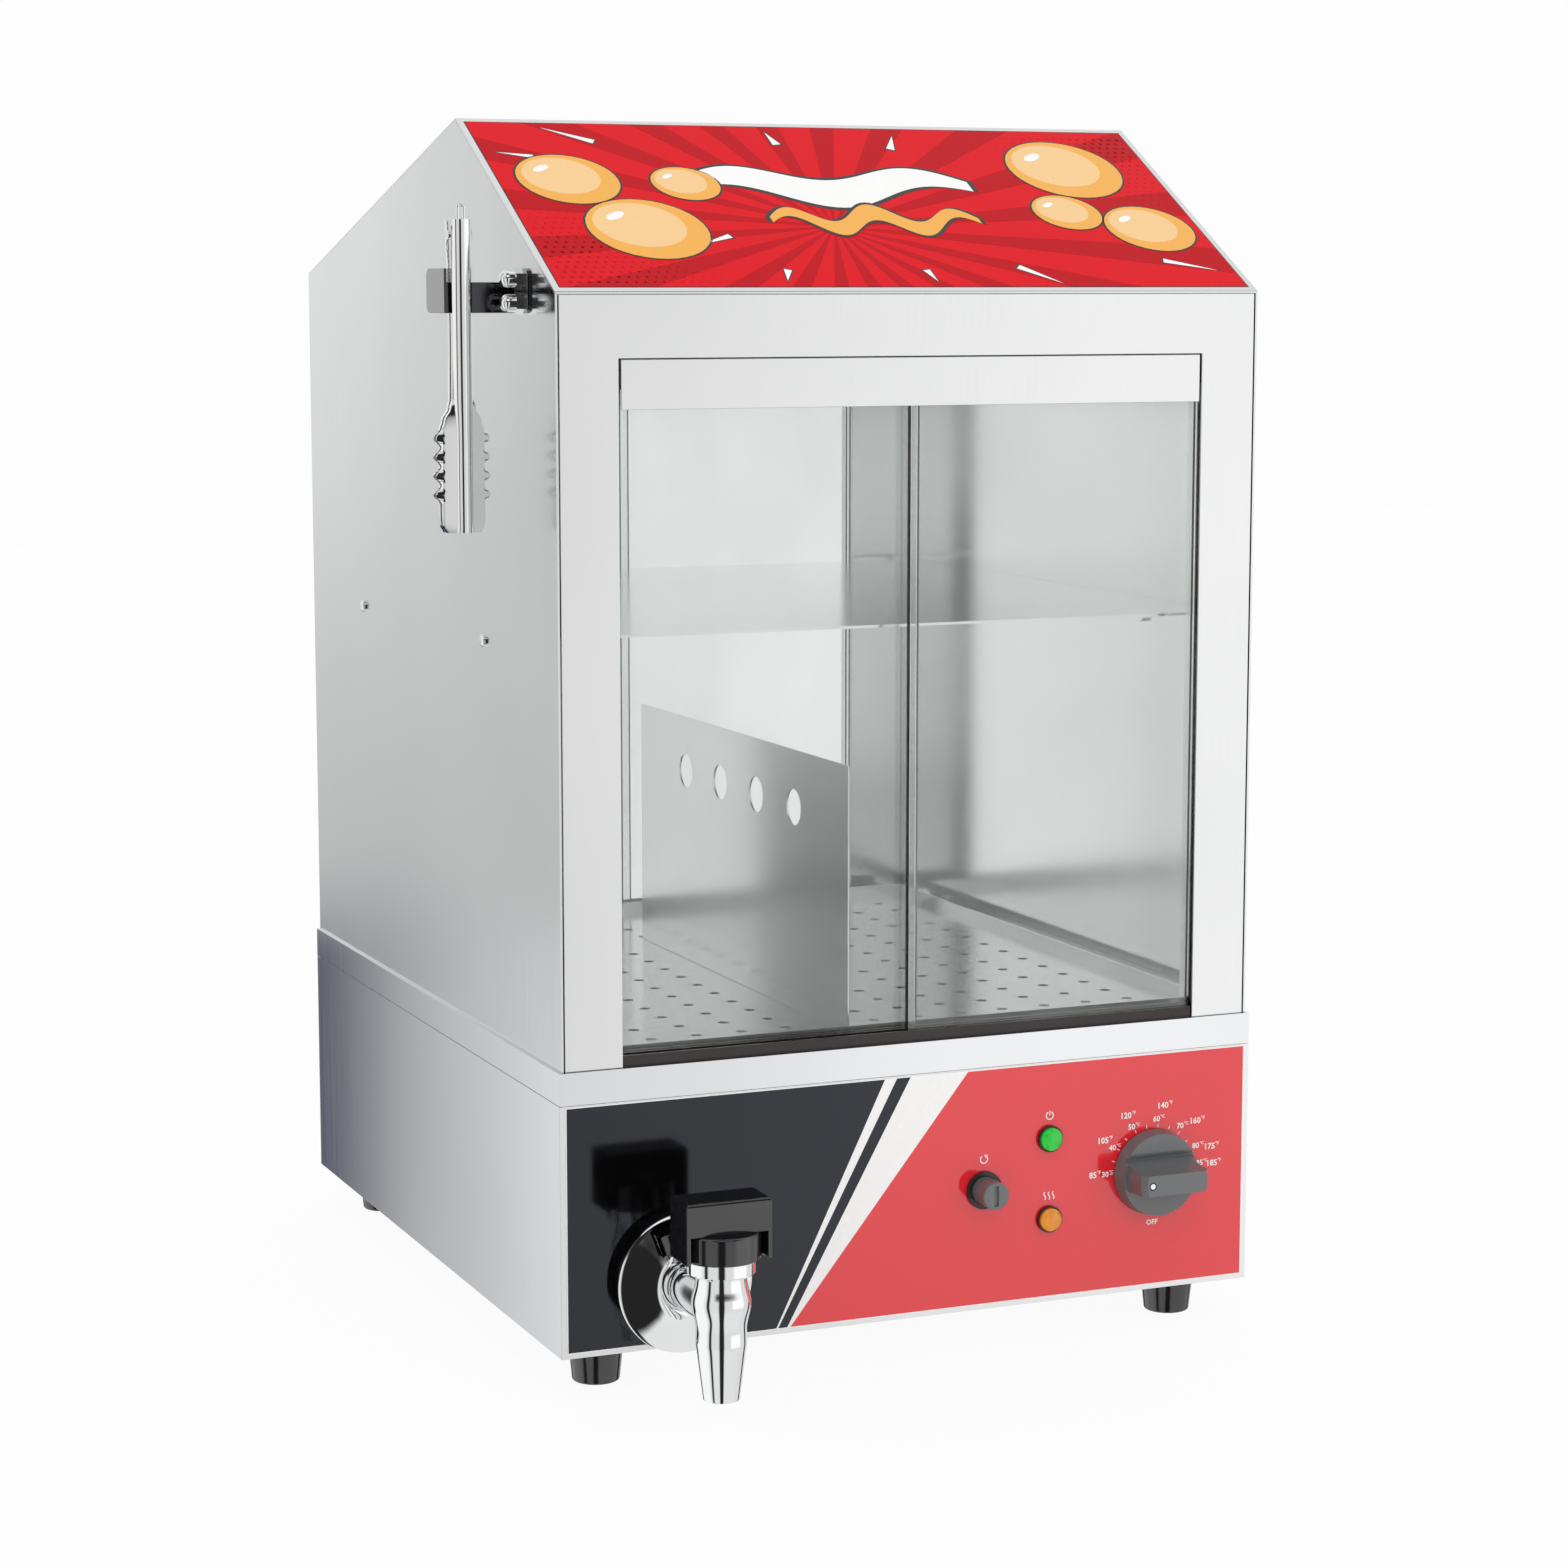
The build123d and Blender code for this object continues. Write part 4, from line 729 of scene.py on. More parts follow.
@dataclass
class Skin:
    """A sheet or moulded piece that keeps its solid's shape and gets softer edges.

    The facing finish goes on the faces that look in a direction; on glass, also on the opposite ones. On the
    side panels' inward faces it is a lighter steel that paints the light inside the cabinet, and on the tongs
    bracket's front a near-black plating that paints a dark reflection.
    """

    node: str
    finish: Finish
    slot: str
    body: str = HOUSING_BODY
    radius: float = 0.35 * MM
    facing_finish: tuple[Finish, Sequence[float]] | None = None
    narrow: float = 1.0

    def build(self) -> None:
        """Makes the piece."""
        shape = Shape((self.finish,))
        towards = Vector((0.0, 0.0, 0.0))
        if self.facing_finish:
            shape.finishes += (self.facing_finish[0],)
            towards = Vector(self.facing_finish[1])
        shape.mesh.from_mesh(FRAME["nodes"][self.node].data)
        shape.join_flats(1.0)
        shape.soften(self.radius, BEND_ANGLE)
        centre = middle(self.node).x
        for vertex in shape.mesh.verts:
            vertex.co.x = centre + (vertex.co.x - centre) * self.narrow
        for face in shape.mesh.faces:
            lean = face.normal.dot(towards)
            face.material_index = int((abs(lean) if self.finish is Finish.GLASS else lean) > 0.7)
        shape.piece(f"{self.node}_skin", self.body, self.slot, self.node)


@dataclass
class Assembly:
    """Pieces that keep their solids' shapes: skins get softer edges too, and the rest only a finish."""

    name: str
    skins: tuple[Skin, ...]
    dressed: dict[Finish, tuple[str, ...]]

    def build(self) -> None:
        """Makes the skins and gives the other pieces their finishes."""
        for skin in self.skins:
            skin.build()
        for finish, nodes in self.dressed.items():
            dress(finish, *nodes)
        LOG.info("%s: %d skins", self.name, len(self.skins))


CABINET = Assembly("cabinet", (
    # The side panels' inward faces get the lighter steel: painted light inside the cabinet.
    Skin("left_side_panel", Finish.SHEET_STEEL, "stainless", facing_finish=(Finish.INNER_STEEL, (1, 0, 0))),
    Skin("right_side_panel", Finish.SHEET_STEEL, "stainless", facing_finish=(Finish.INNER_STEEL, (-1, 0, 0))),
    Skin("front_frame", Finish.FRONT_STEEL, "stainless"),
    Skin("rear_frame", Finish.FRONT_STEEL, "stainless"),
    Skin("roof_front_panel", Finish.ROOF_STEEL, "stainless", radius=0.3 * MM),
    Skin("roof_rear_panel", Finish.ROOF_STEEL, "stainless", radius=0.3 * MM),
    Skin("door_headers", Finish.FRONT_STEEL, "stainless"),
    # The bun shelf gets the lighter steel too: painted light inside the cabinet.
    Skin("bun_shelf", Finish.INNER_STEEL, "stainless"),
    Skin("divider", Finish.SHEET_STEEL, "stainless", "tray_divider"),
    *(Skin(door, Finish.GLASS, "glass", door, 0.3 * MM, (Finish.GLASS_EDGE, (1, 0, 0)))
      for door in ("front_left_door", "front_right_door", "rear_left_door", "rear_right_door")),
), {
    Finish.TRACK: ("top_tracks", "bottom_tracks"),
    Finish.TRAY_STEEL: ("hot_dog_tray",),
    Finish.POLISHED: ("shelf_screws",),
    Finish.ZINC: ("cabinet_screws",),
})

BASE = Assembly("base", (
    Skin("base_front_panel", Finish.FRONT_STEEL, "painted_base"),
    Skin("base_rear_panel", Finish.BASE_STEEL, "painted_base"),
    Skin("base_side_panels", Finish.BASE_STEEL, "painted_base"),
    Skin("base_rim", Finish.BASE_STEEL, "stainless", radius=0.5 * MM),
    Skin("water_pan", Finish.SHEET_STEEL, "stainless", radius=0.4 * MM),
    Skin("vent_cover", Finish.BASE_STEEL, "stainless"),
    Skin("feet", Finish.RUBBER, "black_rubber"),
    Skin("cable_gland", Finish.BLACK_PLASTIC, "black_plastic"),
), {
    Finish.ZINC: ("base_floor", "foot_fasteners", "vent_screws", "panel_nuts", "hose_clamps",
                  "thermostat_shaft"),
    Finish.ELEMENT: ("heating_element", "thermostat_bulb"),
    Finish.GREY_PLASTIC: ("thermostat_body", "limit_switch", "terminal_block"),
    Finish.HOSE: ("drain_hose",),
})


@dataclass
class RoofPrint:
    """Printed panel on the front slope: a red burst with plain ribbons, rounds and shards.

    Places in the tables are shares of the panel's half width and slope length. A shard's row adds its
    aim in degrees, reach and base in millimetres, and a round's row its radius in millimetres.
    """

    rise: float = 91.0 * MM
    run: float = 157.5 * MM
    inset: float = 1.0 * MM
    border: float = 0.6 * MM
    ground: float = 0.10 * MM
    layer: float = 0.05 * MM
    ray_count: int = 22
    dot_pitch: float = 5.0 * MM
    smallest_dot: float = 0.35 * MM
    shards: tuple[tuple[float, ...], ...] = (
        (-0.66, 0.88, 150.0, 30.0, 4.6), (-0.34, 0.10, 250.0, 12.0, 4.4),
        (-0.12, 0.88, 100.0, 14.0, 5.0), (0.22, 0.86, 66.0, 17.0, 4.8),
        (0.34, 0.12, -42.0, 26.0, 4.8), (0.80, 0.16, -20.0, 30.0, 4.4),
        (-0.86, 0.78, 168.0, 20.0, 3.6), (-0.44, 0.30, 205.0, 22.0, 4.0),
        (0.06, 0.10, -80.0, 12.0, 4.2))
    rounds: tuple[tuple[float, ...], ...] = (
        (-0.80, 0.64, 28.0), (-0.66, 0.34, 33.0), (-0.47, 0.62, 19.0), (0.84, 0.36, 26.0),
        (0.62, 0.46, 20.0), (0.72, 0.74, 34.0))
    half: float = field(init=False)
    length: float = field(init=False)
    frame: Matrix = field(init=False)
    shape: Shape = field(init=False)

    def __post_init__(self) -> None:
        """Measures the panel and starts the print: X across, Y up the slope from the eave's middle."""
        low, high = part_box("roof_graphic_panel")
        pitch = math.atan2(self.rise, self.run)
        self.half = (high.x - low.x - 2 * self.inset) / 2
        self.length = (high.y - low.y) / math.cos(pitch) - 2 * self.inset
        self.frame = (Matrix.Translation(((low.x + high.x) / 2, low.y, low.z))
                      @ Matrix.Rotation(pitch, 4, "X") @ Matrix.Translation((0.0, self.inset, 0.0)))
        self.shape = Shape((Finish.ROOF_FILM, Finish.BLACK_INK, Finish.DARK_RED_INK, Finish.WHITE_INK,
                            Finish.MUSTARD_INK, Finish.CREAM_INK))

    def stamp(self, outline: Sequence[Point], level: int, ink: Finish) -> None:
        """Prints an outline.

        Args:
            outline: Its corners.
            level: Number of layers under it.
            ink: Its finish.
        """
        place = self.frame @ Matrix.Translation((0.0, 0.0, self.ground + level * self.layer))
        self.shape.cut_out(outline, place, self.layer, ink)

    def clipped(self, outline: Sequence[Point]) -> list[Point]:
        """Cuts a convex outline to the red field.

        Args:
            outline: Its corners.

        Returns:
            The corners inside the field.
        """
        side, top = self.half - self.border, self.length - self.border
        corners = list(outline)
        for axis, sign, limit in ((0, 1.0, side), (0, -1.0, side), (1, 1.0, top), (1, -1.0, -self.border)):
            kept: list[Point] = []
            for here, there in zip(corners, corners[1:] + corners[:1]):
                inside = sign * here[axis] <= limit
                if inside:
                    kept.append(here)
                if inside != (sign * there[axis] <= limit):
                    share = (limit / sign - here[axis]) / (there[axis] - here[axis])
                    kept.append(tuple(near + share * (far - near) for near, far in zip(here, there)))
            corners = kept
        return corners

    def rays(self) -> None:
        """Adds darker wedges that spread from a point low on the panel."""
        hub = (-0.12 * self.half, 0.36 * self.length)
        reach = 3.0 * self.half
        step = FULL_TURN / self.ray_count
        for ray in range(self.ray_count):
            start = ray * step + 0.07
            corners = self.clipped([hub, polar(hub, reach, start), polar(hub, reach, start + step * 0.42)])
            if len(corners) > 2:
                self.stamp(corners, 1, Finish.DARK_RED_INK)

    def dots(self) -> None:
        """Adds printed dots that fade in from two corners."""
        half, length, pitch = self.half, self.length, self.dot_pitch
        for row in range(1, int(length / pitch)):
            for column in range(1, int(2 * half / pitch)):
                x = -half + column * pitch + (row % 2) * pitch / 2
                y = row * pitch
                near = min(math.hypot(x + half, y), math.hypot(x - half, length - y)) / (0.62 * half)
                radius = 0.30 * pitch * (1.0 - near)
                inside = abs(x) <= half - 3 * self.border and y <= length - 2 * self.border
                if inside and radius >= self.smallest_dot:
                    self.stamp(oval((x, y), radius, steps=8), 1, Finish.DARK_RED_INK)

    def shard(self, at: Point, aim: float, reach: float, base: float) -> None:
        """Adds a white sliver with a black edge.

        Args:
            at: Middle of the sliver's short side.
            aim: Direction of its point, in degrees.
            reach: Its length.
            base: Its width.
        """
        along = Vector(polar((0.0, 0.0), 1.0, math.radians(aim)))
        across = Vector((-along.y, along.x))
        for level, grow, ink in ((2, 0.9 * MM, Finish.BLACK_INK), (3, 0.0, Finish.WHITE_INK)):
            foot = Vector(at) - along * grow
            side = across * (base / 2 + grow)
            corners = (foot + side, foot - side, foot + along * (reach + 4.0 * grow))
            self.stamp([tuple(corner) for corner in corners], level, ink)

    def ribbon(self, at: Point, width: float, rise: float, thick: float, turns: float, edge: float,
               level: int, ink: Finish) -> None:
        """Adds a waving ribbon with a black edge.

        Args:
            at: Its middle.
            width: Its length.
            rise: Height of its waves.
            thick: Its width.
            turns: Number of waves.
            edge: Width of the edge.
            level: Number of layers under it.
            ink: Its finish.
        """
        steps = 48
        for lift, grow, layer_ink in ((0, edge, Finish.BLACK_INK), (1, 0.0, ink)):
            sides: tuple[list[Point], list[Point]] = ([], [])
            for step in range(steps + 1):
                share = step / steps
                x = at[0] + (share - 0.5) * (width + 2 * grow)
                y = at[1] + rise * math.sin(share * turns * FULL_TURN)
                body = (thick + 2 * grow) * (0.35 + 0.65 * math.sin(math.pi * share)) / 2
                sides[0].append((x, y - body))
                sides[1].append((x, y + body))
            self.stamp(sides[0] + sides[1][::-1], level + lift, layer_ink)

    def golden(self, at: Point, radius: float) -> None:
        """Adds a golden round with a dark edge, a paler middle and a white glint.

        Args:
            at: Its middle.
            radius: Its radius.
        """
        paler = (at[0] - 0.10 * radius, at[1] + 0.12 * radius)
        glint = (at[0] - 0.42 * radius, at[1] + 0.40 * radius)
        self.stamp(oval(at, radius + 1.2 * MM, 0.94), 3, Finish.BLACK_INK)
        self.stamp(oval(at, radius, 0.94), 4, Finish.MUSTARD_INK)
        self.stamp(oval(paler, 0.76 * radius, 0.92), 5, Finish.CREAM_INK)
        self.stamp(oval(glint, 0.20 * radius, 0.45, 35.0), 6, Finish.WHITE_INK)

    def build(self) -> None:
        """Makes the print."""
        half, length, edge = self.half, self.length, self.border
        self.shape.cut_out(quad((-half, half), (-half, half), (0.0, length)), self.frame, self.ground,
                           Finish.BLACK_INK)
        field_width = (-half + edge, half - edge)
        self.stamp(quad(field_width, field_width, (edge, length - edge)), 0, Finish.ROOF_FILM)
        self.rays()
        self.dots()
        for x, y, aim, reach, base in self.shards:
            self.shard((x * half, y * length), aim, reach * MM, base * MM)
        self.ribbon((-0.05 * half, 0.62 * length), 0.86 * half, 0.055 * length, 30.0 * MM, 1.5, 3.0 * MM,
                    2, Finish.WHITE_INK)
        self.ribbon((0.02 * half, 0.40 * length), 0.62 * half, 0.05 * length, 17.0 * MM, 2.5, 2.4 * MM,
                    4, Finish.MUSTARD_INK)
        for x, y, radius in self.rounds:
            self.golden((x * half, y * length), radius * MM)
        self.shape.piece("roof_print", HOUSING_BODY, "graphic", "roof_graphic_panel")


class Mark(Enum):
    """Plain printed marks beside the controls."""

    HEAT = "heat"
    ON = "on"
    RETURN = "return"


@dataclass
class ControlPanel:
    """Front film with its dial scale, and the knob, reset button and pilot lamps on it.

    Scale angles are in degrees, 0 to the right of the knob and 90 above it.
    """

    ground: float = 0.28 * MM
    layer: float = 0.04 * MM
    edge: float = 0.5 * MM
    split_foot: float = 123.5 * MM
    split_top: float = 216.5 * MM
    number_height: float = 3.6 * MM
    tick_radius: float = 25.6 * MM
    tick_gaps: int = 11
    first_tick: float = 178.3
    last_tick: float = 3.9
    inner_radius: float = 29.4 * MM
    outer_radius: float = 37.0 * MM
    off_drop: float = 28.5 * MM
    skirt: float = 8.7
    celsius: tuple[tuple[str, float], ...] = (
        ("30", 178.0), ("40", 148.0), ("50", 117.0), ("60", 86.0), ("70", 55.0), ("80", 24.0), ("85", 4.0))
    fahrenheit: tuple[tuple[str, float], ...] = (
        ("85", 178.0), ("105", 147.0), ("120", 117.5), ("140", 81.0), ("160", 45.0), ("175", 17.0),
        ("185", 2.0))

    def film(self) -> None:
        """Makes the printed film: black at the left, red at the right, with white slashes between."""
        low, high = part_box("control_overlay")
        width, height = high.x - low.x, high.z - low.z
        foot, top, edge = self.split_foot, self.split_top, self.edge
        flat = to_front(low.x, high.y, low.z)
        above = flat @ Matrix.Translation((0, 0, self.ground))
        higher = above @ Matrix.Translation((0, 0, self.layer))
        whole, inner = (0, height), (edge, height - edge)
        shape = Shape((Finish.RED_FILM, Finish.BLACK_FILM, Finish.WHITE_INK))
        shape.cut_out(quad((0, width), (0, width), whole), flat, self.ground, Finish.WHITE_INK)
        shape.cut_out(quad((foot, width - edge), (top, width - edge), inner), above, self.layer,
                      Finish.RED_FILM)
        shape.cut_out(quad((edge, foot), (edge, top), inner), above, self.layer, Finish.BLACK_FILM)
        for left_foot, right_foot, left_top, right_top in ((-0.8, 0.8, -22.0, 12.0),
                                                           (-7.0, -6.0, -37.0, -30.0)):
            slash = quad((foot + left_foot * MM, foot + right_foot * MM),
                         (top + left_top * MM, top + right_top * MM), whole)
            shape.cut_out(slash, higher, self.layer, Finish.WHITE_INK)
        shape.piece("front_film", HOUSING_BODY, "overlay", "control_overlay")

    def printed(self, words: str, height: float) -> bpy.types.Mesh:
        """Flat characters as a mesh that starts at the origin.

        Args:
            words: Characters to print.
            height: Height of a capital in metres.

        Returns:
            The mesh; the caller removes it.
        """
        curve = bpy.data.curves.new("lettering", "FONT")
        curve.body = words
        curve.size = height * 1.4
        curve.resolution_u = 2
        curve.extrude = self.layer / 2
        curve.offset = height * 0.025
        holder = bpy.data.objects.new("lettering", curve)
        bpy.context.scene.collection.objects.link(holder)
        bpy.context.view_layer.update()
        data = bpy.data.meshes.new_from_object(holder)
        bpy.data.objects.remove(holder)
        bpy.data.curves.remove(curve)
        return data

    def lettering(self, shape: Shape, words: str, suffix: str, height: float, place: Matrix) -> None:
        """Adds printed characters with a small raised suffix, centred on a frame's origin.

        Args:
            shape: The print.
            words: Characters to print.
            suffix: Characters of half the height at their top right, or none.
            height: Height of a capital in metres.
            place: Frame whose XY plane is the print's.
        """
        pieces = [self.printed(words, height)]
        width = max(vert.co.x for vert in pieces[0].vertices)
        pieces[0].transform(Matrix.Translation((-width / 2, -height / 2, 0)))
        if suffix:
            pieces.append(self.printed(suffix, 0.55 * height))
            pieces[1].transform(Matrix.Translation((width / 2 + 0.10 * height, 0.08 * height, 0)))
        for piece in pieces:
            before = len(shape.mesh.verts)
            shape.mesh.from_mesh(piece)
            shape.mesh.verts.ensure_lookup_table()
            bmesh.ops.transform(shape.mesh, matrix=place, verts=shape.mesh.verts[before:])
            bpy.data.meshes.remove(piece)

    def scale(self) -> None:
        """Makes the dial's ticks and numbers round the knob."""
        knob = middle("knob")
        face = to_front(knob.x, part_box("control_overlay")[0].y, knob.z)
        shape = Shape((Finish.WHITE_INK,))
        tick = in_metres(quad((-0.9, 0.9), (-0.9, 0.9), (-0.2, 0.2)))
        for index in range(self.tick_gaps + 1):
            angle = self.first_tick - index * ((self.first_tick - self.last_tick) / self.tick_gaps)
            shape.cut_out(tick, face @ Matrix.Rotation(math.radians(angle), 4, "Z")
                          @ Matrix.Translation((self.tick_radius, 0, 0)), self.layer)
        for numbers, radius, unit, height in ((self.celsius, self.inner_radius, "°C", 0.86),
                                              (self.fahrenheit, self.outer_radius, "°F", 0.94)):
            for number, angle in numbers:
                at = polar((0.0, 0.0), radius, math.radians(angle))
                self.lettering(shape, number, unit, self.number_height * height,
                               face @ Matrix.Translation((*at, 0)))
        self.lettering(shape, "OFF", "", self.number_height * 0.8,
                       face @ Matrix.Translation((0, -self.off_drop, 0)))
        shape.piece("dial_scale", HOUSING_BODY, "overlay")

    def mark(self, shape: Shape, mark: Mark, place: Matrix) -> None:
        """Adds a mark: three rising waves, or a broken ring with a bar or an arrowhead.

        Args:
            shape: The print.
            mark: The mark.
            place: Frame at its middle.
        """
        if mark is Mark.HEAT:
            for column in (-2.6, 0.0, 2.6):
                line = [(column + 0.55 * math.sin(step * FULL_TURN / 8), -2.2 + 4.4 * step / 8)
                        for step in range(9)]
                outline = [(x - 0.3, y) for x, y in line] + [(x + 0.3, y) for x, y in reversed(line)]
                shape.cut_out(in_metres(outline), place, self.layer)
            return
        gap = 50.0 if mark is Mark.ON else 70.0
        angles = [math.radians(90.0 + gap / 2 + (360.0 - gap) * step / 24) for step in range(25)]
        outer, inner = ([polar((0.0, 0.0), radius * MM, angle) for angle in angles] for radius in (2.4, 1.85))
        shape.cut_out(outer + inner[::-1], place, self.layer)
        if mark is Mark.ON:
            shape.cut_out(in_metres(quad((-0.27, 0.27), (-0.27, 0.27), (0.2, 2.7))), place, self.layer)
        else:
            tip = (place @ Matrix.Rotation(math.radians(90.0 - gap / 2), 4, "Z")
                   @ Matrix.Translation((2.12 * MM, 0, 0)))
            shape.cut_out(in_metres([(-1.1, -0.6), (1.1, -0.6), (0, 1.3)]), tip, self.layer)

    def marks(self) -> None:
        """Makes a plain mark above each lamp and the reset button."""
        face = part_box("control_overlay")[0].y
        shape = Shape((Finish.WHITE_INK,))
        for node, mark, rise in (("power_lens", Mark.ON, 12.6), ("heating_lens", Mark.HEAT, 12.9),
                                 ("reset_ring", Mark.RETURN, 16.8)):
            centre = middle(node)
            self.mark(shape, mark, to_front(centre.x, face, centre.z + rise * MM))
        shape.piece("control_marks", HOUSING_BODY, "overlay")

    def grip_side(self, near: float, far: float, front: float) -> list[Point]:
        """Upper side of the knob's section: skirt face, rounded lip, scoop and the rise to the bar.

        Args:
            near: Where the bar's front edge lies, in millimetres from the knob's middle.
            far: Where the lip starts, in millimetres from the middle.
            front: Height of the bar's face in millimetres.

        Returns:
            Points from the skirt's outside to the bar's front, as distance and height in millimetres.
        """
        trough = self.skirt - 2.4
        floor = near + 3.4
        points: list[Point] = [(26.0, self.skirt)]
        for step in range(7):
            angle = math.radians(90.0 * step / 6)
            points.append((far - 2.8 * math.sin(angle), self.skirt - 1.8 * (1.0 - math.cos(angle))))
        points.append((floor + 0.5, trough + 0.15))
        for step in range(11):
            share = step / 10
            points.append((near + (floor - near) * (1.0 - share) ** 2.4, trough + (front - trough) * share))
        return points

    def knob(self) -> None:
        """Makes the thermostat knob: a round skirt with a scooped grip bar and a pointer dot."""
        low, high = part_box("knob")
        centre = middle("knob")
        skirt, front = self.skirt, (high.y - low.y) / MM - 0.1
        lower = [(-26.0, skirt), (-9.2, skirt), (-8.1, skirt + 0.5), (-7.4, skirt + 1.6), (-6.6, front)]
        across = [(-26.0, -0.1), (26.0, -0.1)] + self.grip_side(5.0, 13.4, front) + lower[::-1]
        upright = (Matrix.Rotation(math.radians(90.0), 4, "Z") @ Matrix.Rotation(math.radians(90.0), 4, "X")
                   @ Matrix.Translation((0, 0, -25.0 * MM)))
        section = Shape((Finish.KNOB_PLASTIC, Finish.BLACK_INK, Finish.WHITE_INK))
        section.cut_out(in_metres(across), upright, 50.0 * MM)
        outline = [(0.0, -0.01), (24.0, -0.01), (22.8, skirt + 0.01), (20.9, skirt + 0.02),
                   (20.7, front - 3.2), (18.2, front + 0.01), (0.0, front + 0.01)]
        shape = overlap(section, Shape().turned(in_metres(outline), Matrix.Identity(4), steps=128))
        shape.soften(0.5 * MM, 28.0, 3)
        base = to_front(centre.x, high.y, centre.z)
        bmesh.ops.transform(shape.mesh, matrix=base, verts=shape.mesh.verts)
        pointer = base @ Matrix.Translation((-15.0 * MM, -0.8 * MM, 0))
        for reach, top, ink in ((2.2, 0.04, Finish.BLACK_INK), (1.5, 0.08, Finish.WHITE_INK)):
            dot = [(0.0, front - 0.3), (reach, front - 0.3), (reach, front + top), (0.0, front + top)]
            shape.turned(in_metres(dot), pointer, steps=32, finish=ink)
        shape.piece("dial_knob", "thermostat_dial", "black_plastic", "knob", sharp=24.0)

    def lens(self, node: str, finish: Finish, slot: str) -> None:
        """Makes a domed lens with facets round its edge.

        Args:
            node: The lens's CAD node.
            finish: Its finish.
            slot: The record's material slot.
        """
        low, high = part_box(node)
        centre = middle(node)
        radius, front = (high.x - low.x) / 2, high.y - low.y
        crown = min(2.6 * MM, 0.4 * front)
        profile = [(0.0, 0.0), (radius, 0.0), (radius, front - crown)]
        for angle in (0.0, 30.0, 60.0):
            lean = math.radians(angle)
            profile.append((0.80 * radius * math.cos(lean), front - 0.42 * crown * (1.0 - math.sin(lean))))
        base = to_front(centre.x, high.y, centre.z)
        shape = Shape((finish,)).turned(profile + [(0.0, front)], base, steps=18)
        shape.soften(0.12 * MM, 16.0, 1)
        shape.piece(f"{node}_dome", HOUSING_BODY, slot, node, sharp=12.0)

    def build(self) -> None:
        """Makes the panel."""
        self.film()
        self.scale()
        self.marks()
        self.knob()
        Skin("reset_button", Finish.KNOB_PLASTIC, "black_plastic", "reset_push", 0.3 * MM).build()
        Skin("reset_ring", Finish.DARK_PLASTIC, "reset_metal", radius=0.3 * MM).build()
        Skin("pilot_lamps", Finish.DARK_PLASTIC, "inner_plastic", radius=0.3 * MM).build()
        self.lens("power_lens", Finish.GREEN_LENS, "green_lens")
        self.lens("heating_lens", Finish.AMBER_LENS, "amber_lens")


